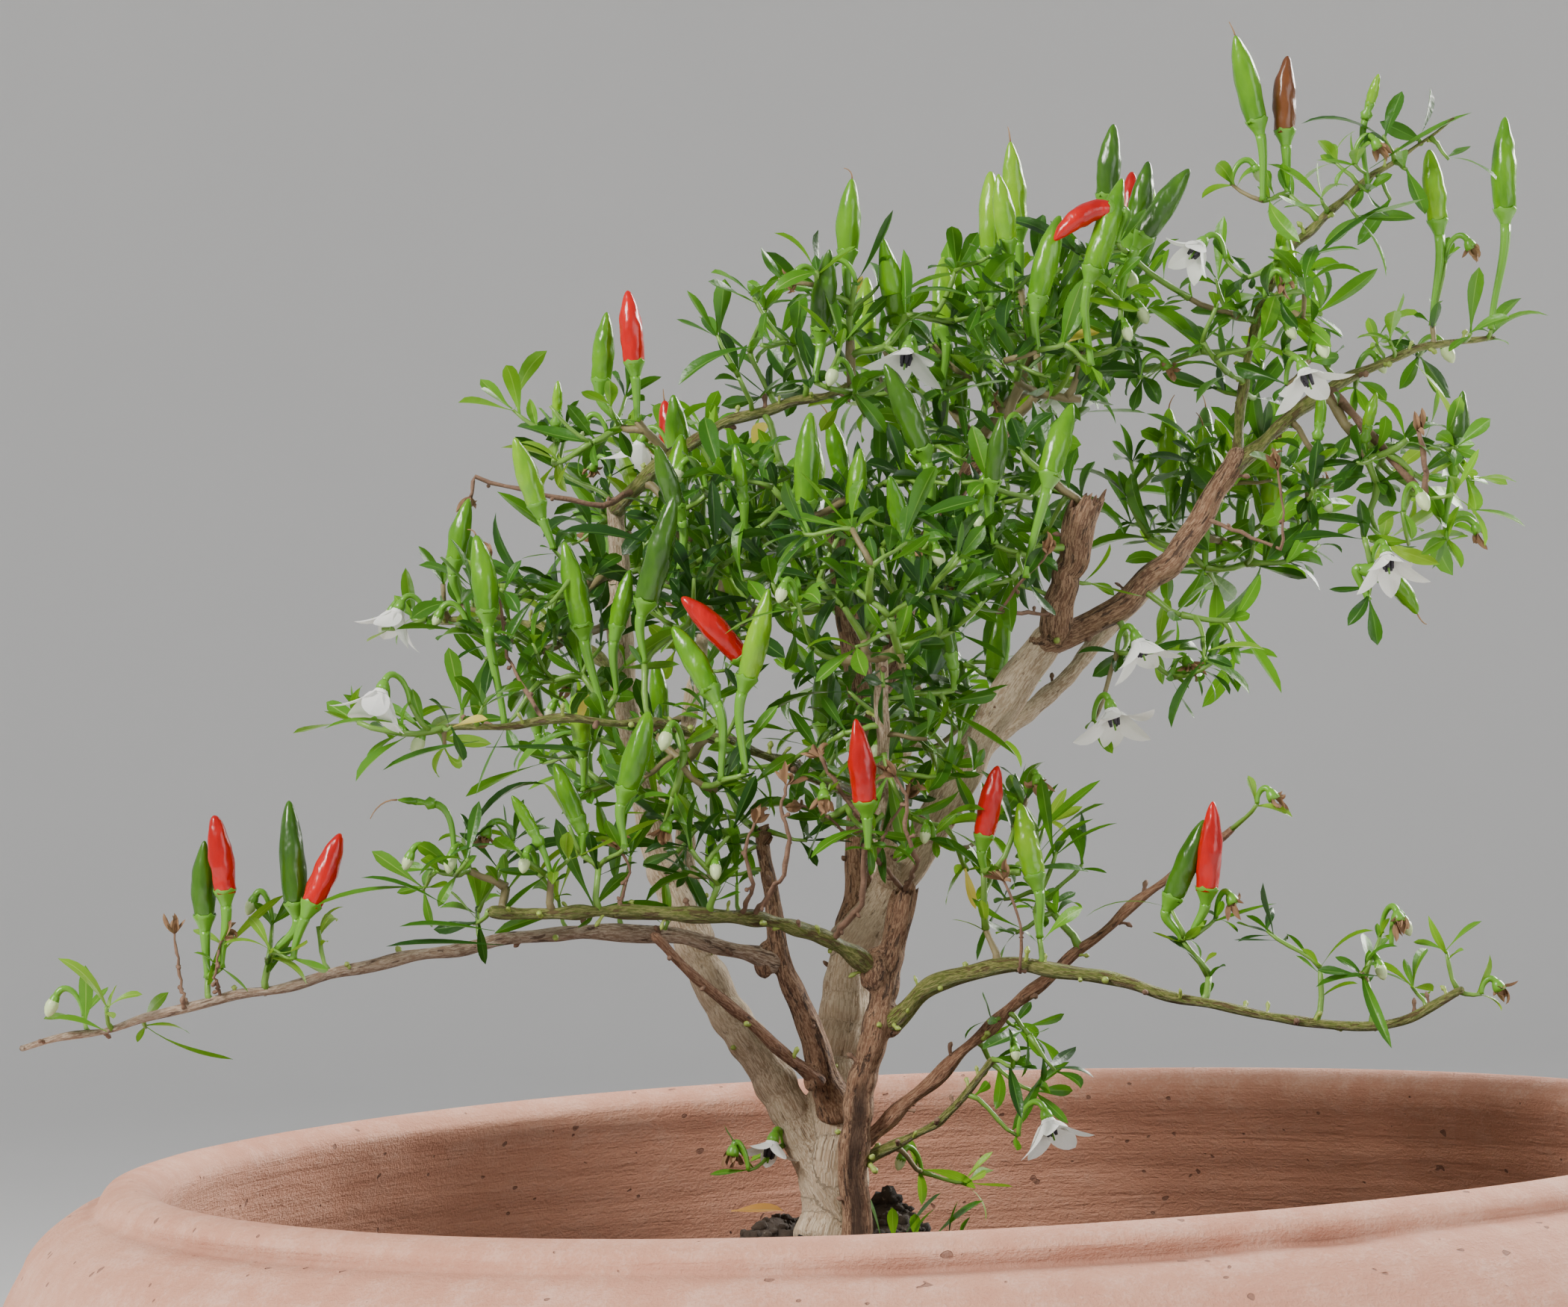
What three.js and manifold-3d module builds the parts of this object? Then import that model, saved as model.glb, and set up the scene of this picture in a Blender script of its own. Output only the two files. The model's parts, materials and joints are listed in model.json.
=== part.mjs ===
// A bird's-eye chilli plant, grown as a small tree, in a hand-thrown terracotta pot.
//
// The object is modelled in its own frame at its real size, in millimetres: +Z is up, the origin is
// the centre of the pot's flat underside, -Y is the front of the plant, and +X is to its right.
// The pot, the soil, the trunk, every main bough and every mass of foliage is one closed solid.

import * as THREE from "three";
import { mergeVertices } from "three/addons/utils/BufferGeometryUtils.js";
import Module from "manifold-3d";

const wasm = await Module();
wasm.setup();

// ---------------------------------------------------------------- driving dimensions
const POT_HEIGHT = 340;
const CREST_RADIUS = 210;      // the top of the rolled lip
const BELLY_RADIUS = 247;      // the widest part, a little below the lip
const FOOT_RADIUS = 148;       // the flat underside
const DRAIN_RADIUS = 13;       // the hole through the floor
const FLOOR_THICKNESS = 15;
const WALL_THICKNESS = 17;
const POT_SEGMENTS = 28;

const SOIL_DROP = 57;          // from the crest down to the soil at the wall
const GROUND = 315;            // height of the soil under the trunk, where its flat cut is
const MOUND_RADIUS = 46;       // the heap of soil about the trunk
const MOUND_FLAT = 17;         // the level top of that heap, which the trunk stands on
const SOIL_LUMP = 1.6;

const TRUNK_FOOT = [-26, 0, GROUND];
const ROOT_FLARE = 2.6;        // added to the trunk's radius at its foot
const FLARE_HEIGHT = 9;
const STEP_LENGTH = 20;        // along a bough, from one ring of its surface to the next
const THICK = 3.5;             // a bough thicker than this has more sides
const GAP = 0.3;               // between solids that touch
const SLACK = 0.08;            // how far a cut surface may be simplified

// ---------------------------------------------------------------- materials
const paint = (color, roughness) => new THREE.MeshStandardMaterial({ color, roughness, metalness: 0 });
const TERRACOTTA = paint(0xc98a74, 0.85);
const SOIL = paint(0x2b2420, 0.95);
const GREY_BARK = paint(0x9a8674, 0.8);
const BROWN_BARK = paint(0x6b4636, 0.75);
const GREEN_STEM = paint(0x7b8a3e, 0.6);
const FOLIAGE = paint(0x3f7a2a, 0.5);

// ---------------------------------------------------------------- solids
// A closed three.js geometry becomes a manifold solid: only positions, shared vertices merged and
// the empty triangles at a pole or an axis dropped.
function solid(geometry) {
  const bare = geometry.clone();
  bare.deleteAttribute("normal");
  bare.deleteAttribute("uv");
  const merged = mergeVertices(bare, 1e-4);
  const corner = merged.index.array;
  const kept = [];
  for (let i = 0; i < corner.length; i += 3) {
    const [a, b, c] = [corner[i], corner[i + 1], corner[i + 2]];
    if (a !== b && b !== c && c !== a) kept.push(a, b, c);
  }
  return new wasm.Manifold(new wasm.Mesh({
    numProp: 3,
    vertProperties: new Float32Array(merged.attributes.position.array),
    triVerts: new Uint32Array(kept),
  }));
}

function geometryOf(body) {
  const mesh = body.getMesh();
  const geometry = new THREE.BufferGeometry();
  geometry.setAttribute("position", new THREE.BufferAttribute(new Float32Array(mesh.vertProperties), 3));
  geometry.setIndex(new THREE.BufferAttribute(new Uint32Array(mesh.triVerts), 1));
  return geometry;
}

// What is left of a body after its neighbours are cut from it: the largest piece.
function cutRound(body, neighbours) {
  const rest = neighbours.reduce((left, other) => left.subtract(other), body);
  const pieces = rest.decompose();
  const largest = pieces.reduce((big, piece) => (piece.volume() > big.volume() ? piece : big));
  return largest.simplify(SLACK);
}

// A mesh is placed at its own point of the object, with its vertices about that point.
function place(group, name, body, at, material) {
  const geometry = geometryOf(body).translate(-at[0], -at[1], -at[2]);
  geometry.computeVertexNormals();
  const mesh = new THREE.Mesh(geometry, material);
  mesh.name = name;
  mesh.position.set(...at);
  group.add(mesh);
}

// A repeatable stream of numbers between 0 and 1.
function dice(seed) {
  let state = seed * 2654435761 + 12345;
  return () => {
    state = (state * 1664525 + 1013904223) % 4294967296;
    return state / 4294967296;
  };
}

// Smooth unevenness over directions: a few waves, each along a random axis, between about -1 and 1.
function waves(seed, count, pitch) {
  const roll = dice(seed);
  roll();
  const terms = Array.from({ length: count }, () => ({
    axis: new THREE.Vector3(roll() - 0.5, roll() - 0.5, roll() - 0.5).normalize(),
    pitch: pitch * (0.7 + 0.6 * roll()),
    phase: 2 * Math.PI * roll(),
  }));
  return (p) => terms.reduce((sum, w) => sum + Math.sin(p.dot(w.axis) * w.pitch + w.phase), 0) / count * 1.6;
}

// ---------------------------------------------------------------- pot
// Heights are measured down from the crest, as a potter would: the outside runs from the foot up
// to the belly, over the rounded shoulder, through the groove under the lip and over the lip.
const below = (drop) => POT_HEIGHT - drop;

function outerWall() {
  const belly = 52;
  const rise = 6;
  const wall = [];
  for (let i = 0; i <= rise; i += 1) {
    const t = i / rise;
    const swell = Math.sin(t * Math.PI / 2) ** 0.85;
    wall.push([FOOT_RADIUS + (BELLY_RADIUS - FOOT_RADIUS) * swell, t * below(belly)]);
  }
  const shoulder = [[2, 34], [6.5, 24], [15, 13], [24.5, 7]];
  for (const [inset, drop] of shoulder) wall.push([BELLY_RADIUS - inset, below(drop)]);
  wall.push([CREST_RADIUS + 8, below(5)]);
  return wall;
}

// The inside: under the lip it opens out behind the shoulder and then follows the outside down.
function innerWall() {
  const wall = [[CREST_RADIUS, below(0)], [CREST_RADIUS - 8, below(5)], [CREST_RADIUS - 6, below(12)]];
  wall.push([CREST_RADIUS + 2, below(30)], [CREST_RADIUS + 12, below(SOIL_DROP)]);
  wall.push([BELLY_RADIUS - WALL_THICKNESS, below(95)]);
  const steps = 3;
  for (let i = 1; i <= steps; i += 1) {
    const t = i / steps;
    const swell = Math.cos(t * Math.PI / 2) ** 0.85;
    const narrow = FOOT_RADIUS - 12;
    const radius = narrow + (BELLY_RADIUS - WALL_THICKNESS - narrow) * swell;
    wall.push([radius, below(95) + (FLOOR_THICKNESS - below(95)) * t]);
  }
  return wall;
}

const lathe = (profile) => new THREE.LatheGeometry(
  profile.map(([r, z]) => new THREE.Vector2(r, z)), POT_SEGMENTS).rotateX(Math.PI / 2);

function pot() {
  const profile = [[DRAIN_RADIUS, 0], ...outerWall(), ...innerWall(), [DRAIN_RADIUS, FLOOR_THICKNESS]];
  profile.push(profile[0]);
  return solid(lathe(profile));
}

// ---------------------------------------------------------------- soil
// Height of the soil's surface at a place: level at the wall, heaped and flat about the trunk.
const soilWave = waves(7, 4, 0.11);
function soilHeight(x, y) {
  const level = below(SOIL_DROP);
  const away = Math.hypot(x - TRUNK_FOOT[0], y - TRUNK_FOOT[1]);
  const slope = THREE.MathUtils.smoothstep(MOUND_RADIUS + MOUND_FLAT - away, 0, MOUND_RADIUS);
  const lump = SOIL_LUMP * soilWave(new THREE.Vector3(x, y, 0));
  return level + (GROUND - GAP - level) * slope + lump * (1 - slope);
}

function soil() {
  const level = below(SOIL_DROP);
  const wall = innerWall().filter(([, z]) => z <= level + 0.01).reverse();
  const skirt = wall.map(([r, z]) => [r - 2 * GAP, z === FLOOR_THICKNESS ? z + GAP : z]);
  const rings = [160, 112, 76, 54, 36, 18, 0];
  const profile = [[0, FLOOR_THICKNESS + GAP], ...skirt, ...rings.map((r) => [r, level])];
  const geometry = lathe(profile);
  const spots = geometry.attributes.position;
  for (let i = 0; i < spots.count; i += 1) {
    const [x, y, z] = [spots.getX(i), spots.getY(i), spots.getZ(i)];
    if (z > level - 0.01 && Math.hypot(x, y) < rings[0] + 1) spots.setZ(i, soilHeight(x, y));
  }
  return solid(geometry);
}

// ---------------------------------------------------------------- boughs
// A bough is a round bar bent along a smooth curve through its points, and tapered. Grow fattens
// and lengthens it. The fat bar cuts later boughs back from it, and the square tunnel that holds
// it cuts the foliage.
const boughs = {};

function bentBar({ curve, from, to, flare, sides, steps }, grow = 0) {
  const geometry = new THREE.CylinderGeometry(1, 1, 1, sides, steps);
  const frames = curve.computeFrenetFrames(steps, false);
  const spots = geometry.attributes.position;
  for (let i = 0; i < spots.count; i += 1) {
    const t = spots.getY(i) + 0.5;
    const ring = Math.round(t * steps);
    const radius = from + (to - from) * t + flare * Math.exp(-t * curve.getLength() / FLARE_HEIGHT) + grow;
    const spot = curve.getPointAt(ring / steps);
    spot.addScaledVector(frames.normals[ring], spots.getX(i) * radius);
    spot.addScaledVector(frames.binormals[ring], -spots.getZ(i) * radius);
    if (ring === 0) spot.addScaledVector(frames.tangents[0], -grow);
    if (ring === steps) spot.addScaledVector(frames.tangents[steps], grow);
    spots.setXYZ(i, spot.x, spot.y, spot.z);
  }
  return solid(geometry);
}

function bough(name, points, from, to, material, flare = 0) {
  const curve = new THREE.CatmullRomCurve3(points.map((p) => new THREE.Vector3(...p)), false, "centripetal");
  const steps = Math.max(4, Math.round(curve.getLength() / STEP_LENGTH));
  const sides = from > THICK ? 8 : 6;
  const shape = { curve, from, to, flare, sides, steps };
  const bar = bentBar(shape);
  const before = Object.values(boughs).map((other) => other.fat);
  const wider = { from: from * Math.SQRT2, to: to * Math.SQRT2, flare: flare * Math.SQRT2 };
  const tunnel = bentBar({ ...shape, ...wider, sides: 4 }, GAP * Math.SQRT2);
  boughs[name] = { name, points, material, body: cutRound(bar, before), fat: bentBar(shape, GAP), tunnel };
}

// Each bough: its own points from its foot outwards, then the radius at its foot and at its tip.
// The two stems from the ground.
bough("trunk", [TRUNK_FOOT, [-26, 0, 330], [-24, 2, 347], [-20, 6, 372], [-17, 10, 398]],
  9.5, 5.6, GREY_BARK, ROOT_FLARE);
bough("front_stem", [[-19, -15, GROUND], [-20, -18, 345], [-10, -22, 380], [-3, -25, 408]],
  4.4, 3.4, BROWN_BARK);

// The limbs that carry the crown.
bough("left_limb", [[-27, 0, 328], [-47, 8, 366], [-66, 16, 410], [-76, 22, 472], [-75, 17, 518]],
  6.4, 2.6, GREY_BARK);
bough("right_limb", [[-18, 9, 392], [-2, 6, 412], [18, 0, 443], [41, -6, 475]],
  5.2, 4.4, GREY_BARK);
bough("centre_limb", [[-18, 9, 388], [-11, 11, 446], [-14, 6, 480], [-17, 2, 509]],
  4.2, 3.4, BROWN_BARK);
bough("inner_limb", [[-24, -2, 350], [-30, -13, 372], [-36, -19, 392], [-39, -22, 424]],
  4.4, 1.4, BROWN_BARK);
bough("right_stub", [[39, -6, 471], [44, -10, 488], [49, -13, 505]],
  4.7, 4.2, BROWN_BARK);
bough("right_arm", [[38, -5, 470], [61, -2, 480], [74, 0, 492], [92, 4, 519]],
  4.1, 2.7, BROWN_BARK);
bough("top_centre_limb", [[-11, 11, 448], [0, 22, 474], [8, 24, 500], [32, 20, 530]],
  3.0, 1.8, BROWN_BARK);

// The long low arms that leave the crown, and the sprays high on the right.
bough("low_left_arm", [[-34, -17, 388], [-70, -28, 399], [-102, -36, 400],
  [-187, -50, 386], [-231, -54, 378]], 2.5, 0.9, BROWN_BARK);
bough("green_left_arm", [[-9, -23, 384], [-27, -32, 398], [-63, -46, 404], [-112, -56, 408]],
  2.4, 1.5, GREEN_STEM);
bough("low_right_arm", [[-10, -22, 371], [17, -38, 388], [63, -50, 378],
  [112, -57, 368], [138, -60, 378]], 2.5, 0.9, GREEN_STEM);
bough("top_sprig", [[91, 4, 515], [95, 8, 543], [108, 5, 572], [155, 0, 606]],
  1.7, 0.8, GREEN_STEM);
bough("right_tip_run", [[90, 4, 514], [111, 6, 531], [135, 8, 543], [163, 12, 547]],
  2.2, 0.9, GREEN_STEM);
bough("upper_left_run", [[-75, 17, 512], [-56, 10, 528], [-36, 6, 535], [-9, 0, 541]],
  2.0, 1.4, GREEN_STEM);
bough("mid_left_arm", [[-13, 10, 430], [-43, -28, 446], [-72, -48, 454], [-119, -61, 454]],
  1.8, 0.9, GREEN_STEM);
bough("left_back_arm", [[-76, 22, 464], [-93, 44, 480], [-130, 58, 485]],
  1.9, 1.1, GREEN_STEM);

// The thin straight sticks low down.
bough("stick_left", [[-29, -12, 358], [-48, -29, 377], [-70, -46, 400]],
  1.8, 1.1, BROWN_BARK);
bough("stick_right", [[-17, -14, 341], [20, -20, 372], [82, -36, 421]],
  2.2, 1.0, BROWN_BARK);
bough("under_right_twig", [[-18, -15, 336], [4, -21, 347], [18, -24, 362]],
  1.7, 1.0, GREEN_STEM);

// The boughs that fill the crown out behind and before the ones above.
bough("back_left_bough", [[-58, 13, 392], [-62, 44, 440], [-52, 68, 488]],
  3.1, 1.9, GREY_BARK);
bough("back_centre_bough", [[-19, 7, 380], [-12, 40, 412], [2, 76, 444]],
  3.4, 1.9, GREY_BARK);
bough("back_upper_bough", [[-11, 11, 436], [4, 44, 488], [26, 60, 530]],
  2.8, 1.7, BROWN_BARK);
bough("back_right_bough", [[14, 2, 436], [52, 30, 468], [84, 52, 500]],
  2.9, 1.8, GREY_BARK);
bough("front_bough", [[-6, 7, 407], [-8, -34, 438], [-8, -56, 468]],
  2.6, 1.5, GREY_BARK);

// ---------------------------------------------------------------- masses of foliage
// Each mass is an uneven ball, stretched, leant about the front-to-back axis, and cut back from
// the boughs in it and from the masses before it.
const LUMP = 0.15;
const SMALL = 31;              // a mass thinner than this has fewer faces
const masses = {};

function foliage(name, centre, reach, lean = 0) {
  const seed = Object.keys(masses).length + 3;
  const unevenness = waves(seed, 5, 4.2);
  const ball = (scale) => {
    const geometry = new THREE.IcosahedronGeometry(1, Math.min(...reach) < SMALL ? 1 : 2);
    const spots = geometry.attributes.position;
    const spot = new THREE.Vector3();
    for (let i = 0; i < spots.count; i += 1) {
      spot.fromBufferAttribute(spots, i);
      spot.multiplyScalar(scale * (1 + LUMP * unevenness(spot)));
      spots.setXYZ(i, spot.x * reach[0], spot.y * reach[1], spot.z * reach[2]);
    }
    geometry.rotateY(-THREE.MathUtils.degToRad(lean)).translate(...centre);
    return solid(geometry);
  };
  const neighbours = Object.values(boughs).map((other) => other.tunnel);
  neighbours.push(...Object.values(masses).map((other) => other.fat));
  const fatter = 1 + 2 * GAP / Math.min(...reach);
  masses[name] = { name, centre, body: cutRound(ball(1), neighbours), fat: ball(fatter) };
}

// The sprays at the very top and at the right-hand tips.
foliage("top_pods", [99, 4, 601], [15, 13, 27]);
foliage("top_sprig_leaves", [135, 0, 592], [27, 13, 17], 32);
foliage("right_tip_pods", [156, 8, 571], [13, 11, 35]);
foliage("right_tip_leaves", [132, 8, 542], [28, 17, 12], 12);
foliage("crown_top_right", [97, 4, 553], [25, 32, 28]);

// The crown, from right to left.
foliage("crown_top_centre", [46, 6, 563], [34, 36, 38]);
foliage("crown_top_left", [-18, 4, 556], [32, 30, 30], -8);
foliage("right_mid", [128, -8, 507], [31, 26, 25]);
foliage("crown_centre", [16, 0, 502], [37, 42, 31]);
foliage("crown_mid_left", [-42, -6, 498], [32, 38, 32]);
foliage("upper_left", [-84, 16, 541], [24, 26, 27]);
foliage("left_mid", [-94, -8, 484], [28, 34, 36]);
foliage("left_back", [-128, 50, 486], [25, 18, 13], 6);
foliage("left_flower_spray", [-124, -58, 456], [27, 16, 14]);

// The middle and the low sprays.
foliage("lower_centre", [-8, -28, 438], [34, 32, 30]);
foliage("lower_mid_left", [-54, -30, 432], [28, 34, 30]);
foliage("lower_left", [-102, -46, 417], [38, 24, 19], 4);
foliage("low_left_spray", [-169, -48, 407], [24, 16, 26]);
foliage("arm_tip_leaves", [-207, -53, 384], [16, 11, 10]);
foliage("lower_right", [26, -28, 414], [25, 26, 28]);
foliage("right_low_spray", [76, -48, 402], [17, 14, 27]);
foliage("right_low_tip", [120, -57, 383], [26, 13, 17]);
foliage("under_right", [22, -22, 363], [19, 16, 22]);
foliage("base_right", [2, -6, 328], [15, 12, 11]);
foliage("base_left", [-46, -8, 333], [9, 9, 11]);
foliage("right_lower_leaves", [74, -10, 466], [24, 22, 15]);

// The far and near sides of the crown.
foliage("back_upper", [30, 66, 545], [42, 32, 32]);
foliage("back_left", [-54, 74, 506], [42, 34, 36]);
foliage("back_right", [92, 58, 508], [34, 32, 30]);
foliage("back_low", [2, 84, 456], [42, 32, 28]);
foliage("front_centre", [-8, -64, 484], [38, 26, 30]);
foliage("back_low_left", [-86, 62, 446], [30, 26, 22]);

// ---------------------------------------------------------------- the object
const plant = new THREE.Group();
plant.name = "plant";
for (const { name, body, points, material } of Object.values(boughs)) {
  place(plant, name, body, points[0], material);
}
for (const { name, body, centre } of Object.values(masses)) {
  place(plant, name, body, centre, FOLIAGE);
}

const potted = new THREE.Group();
potted.name = "potted_chilli_plant";
place(potted, "pot", pot(), [0, 0, 0], TERRACOTTA);
place(potted, "soil", soil(), [0, 0, 0], SOIL);
potted.add(plant);

export default potted;
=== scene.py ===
# %% [markdown]
# # A chilli plant grown as a small tree, in a hand-thrown terracotta pot
# The plant is old and woody: a short pale trunk, grey and brown limbs with cut stubs, long
# green arms, a crown of small glossy leaves, and slim fruit that stand upright above it.
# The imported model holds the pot, the soil, each bough and each mass of foliage as plain solids.
# This script puts a finished surface in the place of each of them. Everything is in metres, in
# the model's own frame: the pot stands on z = 0, its axis is x = y = 0, and the front is -Y.

# %% Load the frame
import json
import math

import bpy
import numpy as np
from mathutils import Matrix, Vector
from mathutils.bvhtree import BVHTree
from mathutils.kdtree import KDTree

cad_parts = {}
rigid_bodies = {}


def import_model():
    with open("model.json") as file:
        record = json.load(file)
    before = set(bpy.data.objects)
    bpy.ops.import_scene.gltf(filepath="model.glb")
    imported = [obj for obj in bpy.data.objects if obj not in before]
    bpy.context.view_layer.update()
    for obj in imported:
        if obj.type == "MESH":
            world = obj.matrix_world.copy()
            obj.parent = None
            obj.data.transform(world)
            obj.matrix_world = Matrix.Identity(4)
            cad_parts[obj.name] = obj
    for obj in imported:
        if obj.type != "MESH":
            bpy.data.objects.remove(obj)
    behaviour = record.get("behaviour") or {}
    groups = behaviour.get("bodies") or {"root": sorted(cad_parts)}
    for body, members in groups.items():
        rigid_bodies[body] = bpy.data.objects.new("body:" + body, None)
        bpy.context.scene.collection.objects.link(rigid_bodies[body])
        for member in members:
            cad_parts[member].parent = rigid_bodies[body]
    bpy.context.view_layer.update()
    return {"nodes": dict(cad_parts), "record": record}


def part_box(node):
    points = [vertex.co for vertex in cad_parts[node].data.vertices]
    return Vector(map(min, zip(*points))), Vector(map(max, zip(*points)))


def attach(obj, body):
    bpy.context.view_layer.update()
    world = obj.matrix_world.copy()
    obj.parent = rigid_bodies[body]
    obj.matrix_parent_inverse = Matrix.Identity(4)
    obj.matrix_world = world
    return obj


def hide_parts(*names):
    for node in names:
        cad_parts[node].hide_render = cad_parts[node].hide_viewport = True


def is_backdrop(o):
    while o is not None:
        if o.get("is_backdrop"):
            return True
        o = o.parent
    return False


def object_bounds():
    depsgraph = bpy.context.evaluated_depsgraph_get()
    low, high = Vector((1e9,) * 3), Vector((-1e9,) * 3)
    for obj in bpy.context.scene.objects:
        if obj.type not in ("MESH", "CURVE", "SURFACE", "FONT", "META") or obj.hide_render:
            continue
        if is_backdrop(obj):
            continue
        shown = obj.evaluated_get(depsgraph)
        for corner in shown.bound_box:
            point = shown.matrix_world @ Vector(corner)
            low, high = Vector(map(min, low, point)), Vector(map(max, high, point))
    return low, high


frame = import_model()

MM = 0.001

# %% [markdown]
# The model names each piece's finish in its record. Sorting the nodes by it once gives every
# later step its list of boughs or leaf masses, so no list of names has to be kept up by hand.

# %% Sort the nodes by the finish they carry
nodes_of = {}
for part in frame["record"]["subparts"]:
    nodes_of.setdefault(part["material_slot"], []).append(part["node"])
for finish, names in nodes_of.items():
    print(finish, len(names), "nodes")

# %% [markdown]
# ## The camera
# A long lens from about a metre away, level with the rim of the pot and turned a little on its
# own axis, so the rim is seen almost edge on and the crown stands clear above it. It is made
# first, so that every later piece can be judged in the same view.

# %% Camera
EYE = Vector((-32, -1158, 450)) * MM
PITCH = math.radians(1.0)
ROLL = math.radians(-2.6)

sight = Vector((0, math.cos(PITCH), math.sin(PITCH)))
across = Vector((math.cos(ROLL), 0, math.sin(ROLL)))
upright = across.cross(sight).normalized()
across = sight.cross(upright)

camera = bpy.data.objects.new("camera", bpy.data.cameras.new("camera"))
camera.data.lens = 100
camera.data.sensor_width = 36
camera.data.clip_start = 0.05
camera.matrix_world = Matrix.Translation(EYE) @ Matrix((across, upright, -sight)).transposed().to_4x4()
bpy.context.scene.collection.objects.link(camera)
bpy.context.scene.camera = camera

# %% [markdown]
# ## Writing a finish as an expression
# A finish is a node tree, and node trees are easier to read as sums than as boxes and wires.
# `Signal` wraps one output socket, and each operator on it adds one Math node. `Finish` makes a
# material, and its `add` makes any other node: settings first, then the sockets' values or links.

# %% Signals
class Signal:
    """An output socket that can be used in Python sums."""

    def __init__(self, socket):
        self.socket = socket

    def sum(self, operation, first, second):
        """Adds a Math node for two signals or values."""
        node = self.socket.id_data.nodes.new("ShaderNodeMath")
        node.operation = operation
        feed(node.inputs[0], first)
        feed(node.inputs[1], second)
        return Signal(node.outputs[0])

    def __add__(self, other):
        return self.sum("ADD", self, other)

    def __sub__(self, other):
        return self.sum("SUBTRACT", self, other)

    def __rsub__(self, other):
        return self.sum("SUBTRACT", other, self)

    def __mul__(self, other):
        return self.sum("MULTIPLY", self, other)

    __radd__ = __add__
    __rmul__ = __mul__


def feed(socket, value):
    """Links a signal to a socket, or sets the socket to a plain value."""
    if isinstance(value, Signal):
        socket.id_data.links.new(value.socket, socket)
    elif socket.type == "RGBA" and len(value) == 3:
        socket.default_value = (*value, 1.0)
    else:
        socket.default_value = value

# %% [markdown]
# A finish is one material. All of them here are noise and blends worked out from a place on the
# piece, so one class holds the few moves that they share: a place, a noise, a mask, a blend, a
# bump and, for thin blades, light from behind.

# %% Finishes
class Finish:
    """A material with one Principled shader, and the one way to add a node to it."""

    def __init__(self, name, **sockets):
        self.material = bpy.data.materials.new(name)
        self.material.use_nodes = True
        self.tree = self.material.node_tree
        self.shader = self.tree.nodes["Principled BSDF"]
        self.set(**sockets)

    def set(self, **sockets):
        """Sets or links sockets of the shader. A space in a name is written as an underscore."""
        for name, value in sockets.items():
            feed(self.shader.inputs[name.replace("_", " ")], value)

    def add(self, kind, settings=None, output=0, **sockets):
        """Any node: its settings first, then its sockets by name, or by number as in i0."""
        node = self.tree.nodes.new(kind)
        for name, value in (settings or {}).items():
            setattr(node, name, value)
        for name, value in sockets.items():
            key = int(name[1:]) if name[0] == "i" and name[1:].isdigit() else name.replace("_", " ")
            feed(node.inputs[key], value)
        return Signal(node.outputs[output])

    def blend(self, factor, low, high):
        """A colour between two colours."""
        return self.add("ShaderNodeMix", {"data_type": "RGBA"}, 2, i0=factor, i6=low, i7=high)

    def mask(self, signal, start, end):
        """0 below start, 1 above end, and a smooth step between."""
        settings = {"interpolation_type": "SMOOTHSTEP"}
        return self.add("ShaderNodeMapRange", settings, 0, Value=signal, From_Min=start, From_Max=end)

    def noise(self, place, scale, detail=4.0, roughness=0.55, distortion=0.0):
        return self.add("ShaderNodeTexNoise", None, 0, Vector=place, Scale=scale, Detail=detail,
                        Roughness=roughness, Distortion=distortion)

    def place(self, stretch=(1, 1, 1), attribute=None):
        """Where a point is on the object, or in an attribute of the mesh, stretched."""
        if attribute:
            spot = self.add("ShaderNodeAttribute", {"attribute_name": attribute}, 1)
        else:
            spot = self.add("ShaderNodeTexCoord", None, 3)
        return self.add("ShaderNodeMapping", None, 0, Vector=spot, Scale=stretch)

    def bump(self, height, distance, strength=1.0):
        self.set(Normal=self.add("ShaderNodeBump", None, 0, Height=height, Distance=distance,
                                 Strength=strength))

    def let_light_through(self, colour, share):
        """Mixes in a Translucent shader, so that light from behind shows in a thin blade."""
        glow = self.add("ShaderNodeBsdfTranslucent", None, 0, Color=colour)
        mixed = self.add("ShaderNodeMixShader", None, 0, i0=share, i1=Signal(self.shader.outputs[0]), i2=glow)
        feed(self.tree.nodes["Material Output"].inputs[0], mixed)

# %% [markdown]
# ## Making many small things as a few joined meshes
# A thousand leaves as a thousand objects would be slow, so each kind is one heap of points and
# faces that becomes a few meshes. Nearly everything here is a grid of points: open for a leaf
# or a petal, closed into a ring for a stalk or a fruit.

# %% Heaps
FACES_LIMIT = 190_000


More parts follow.
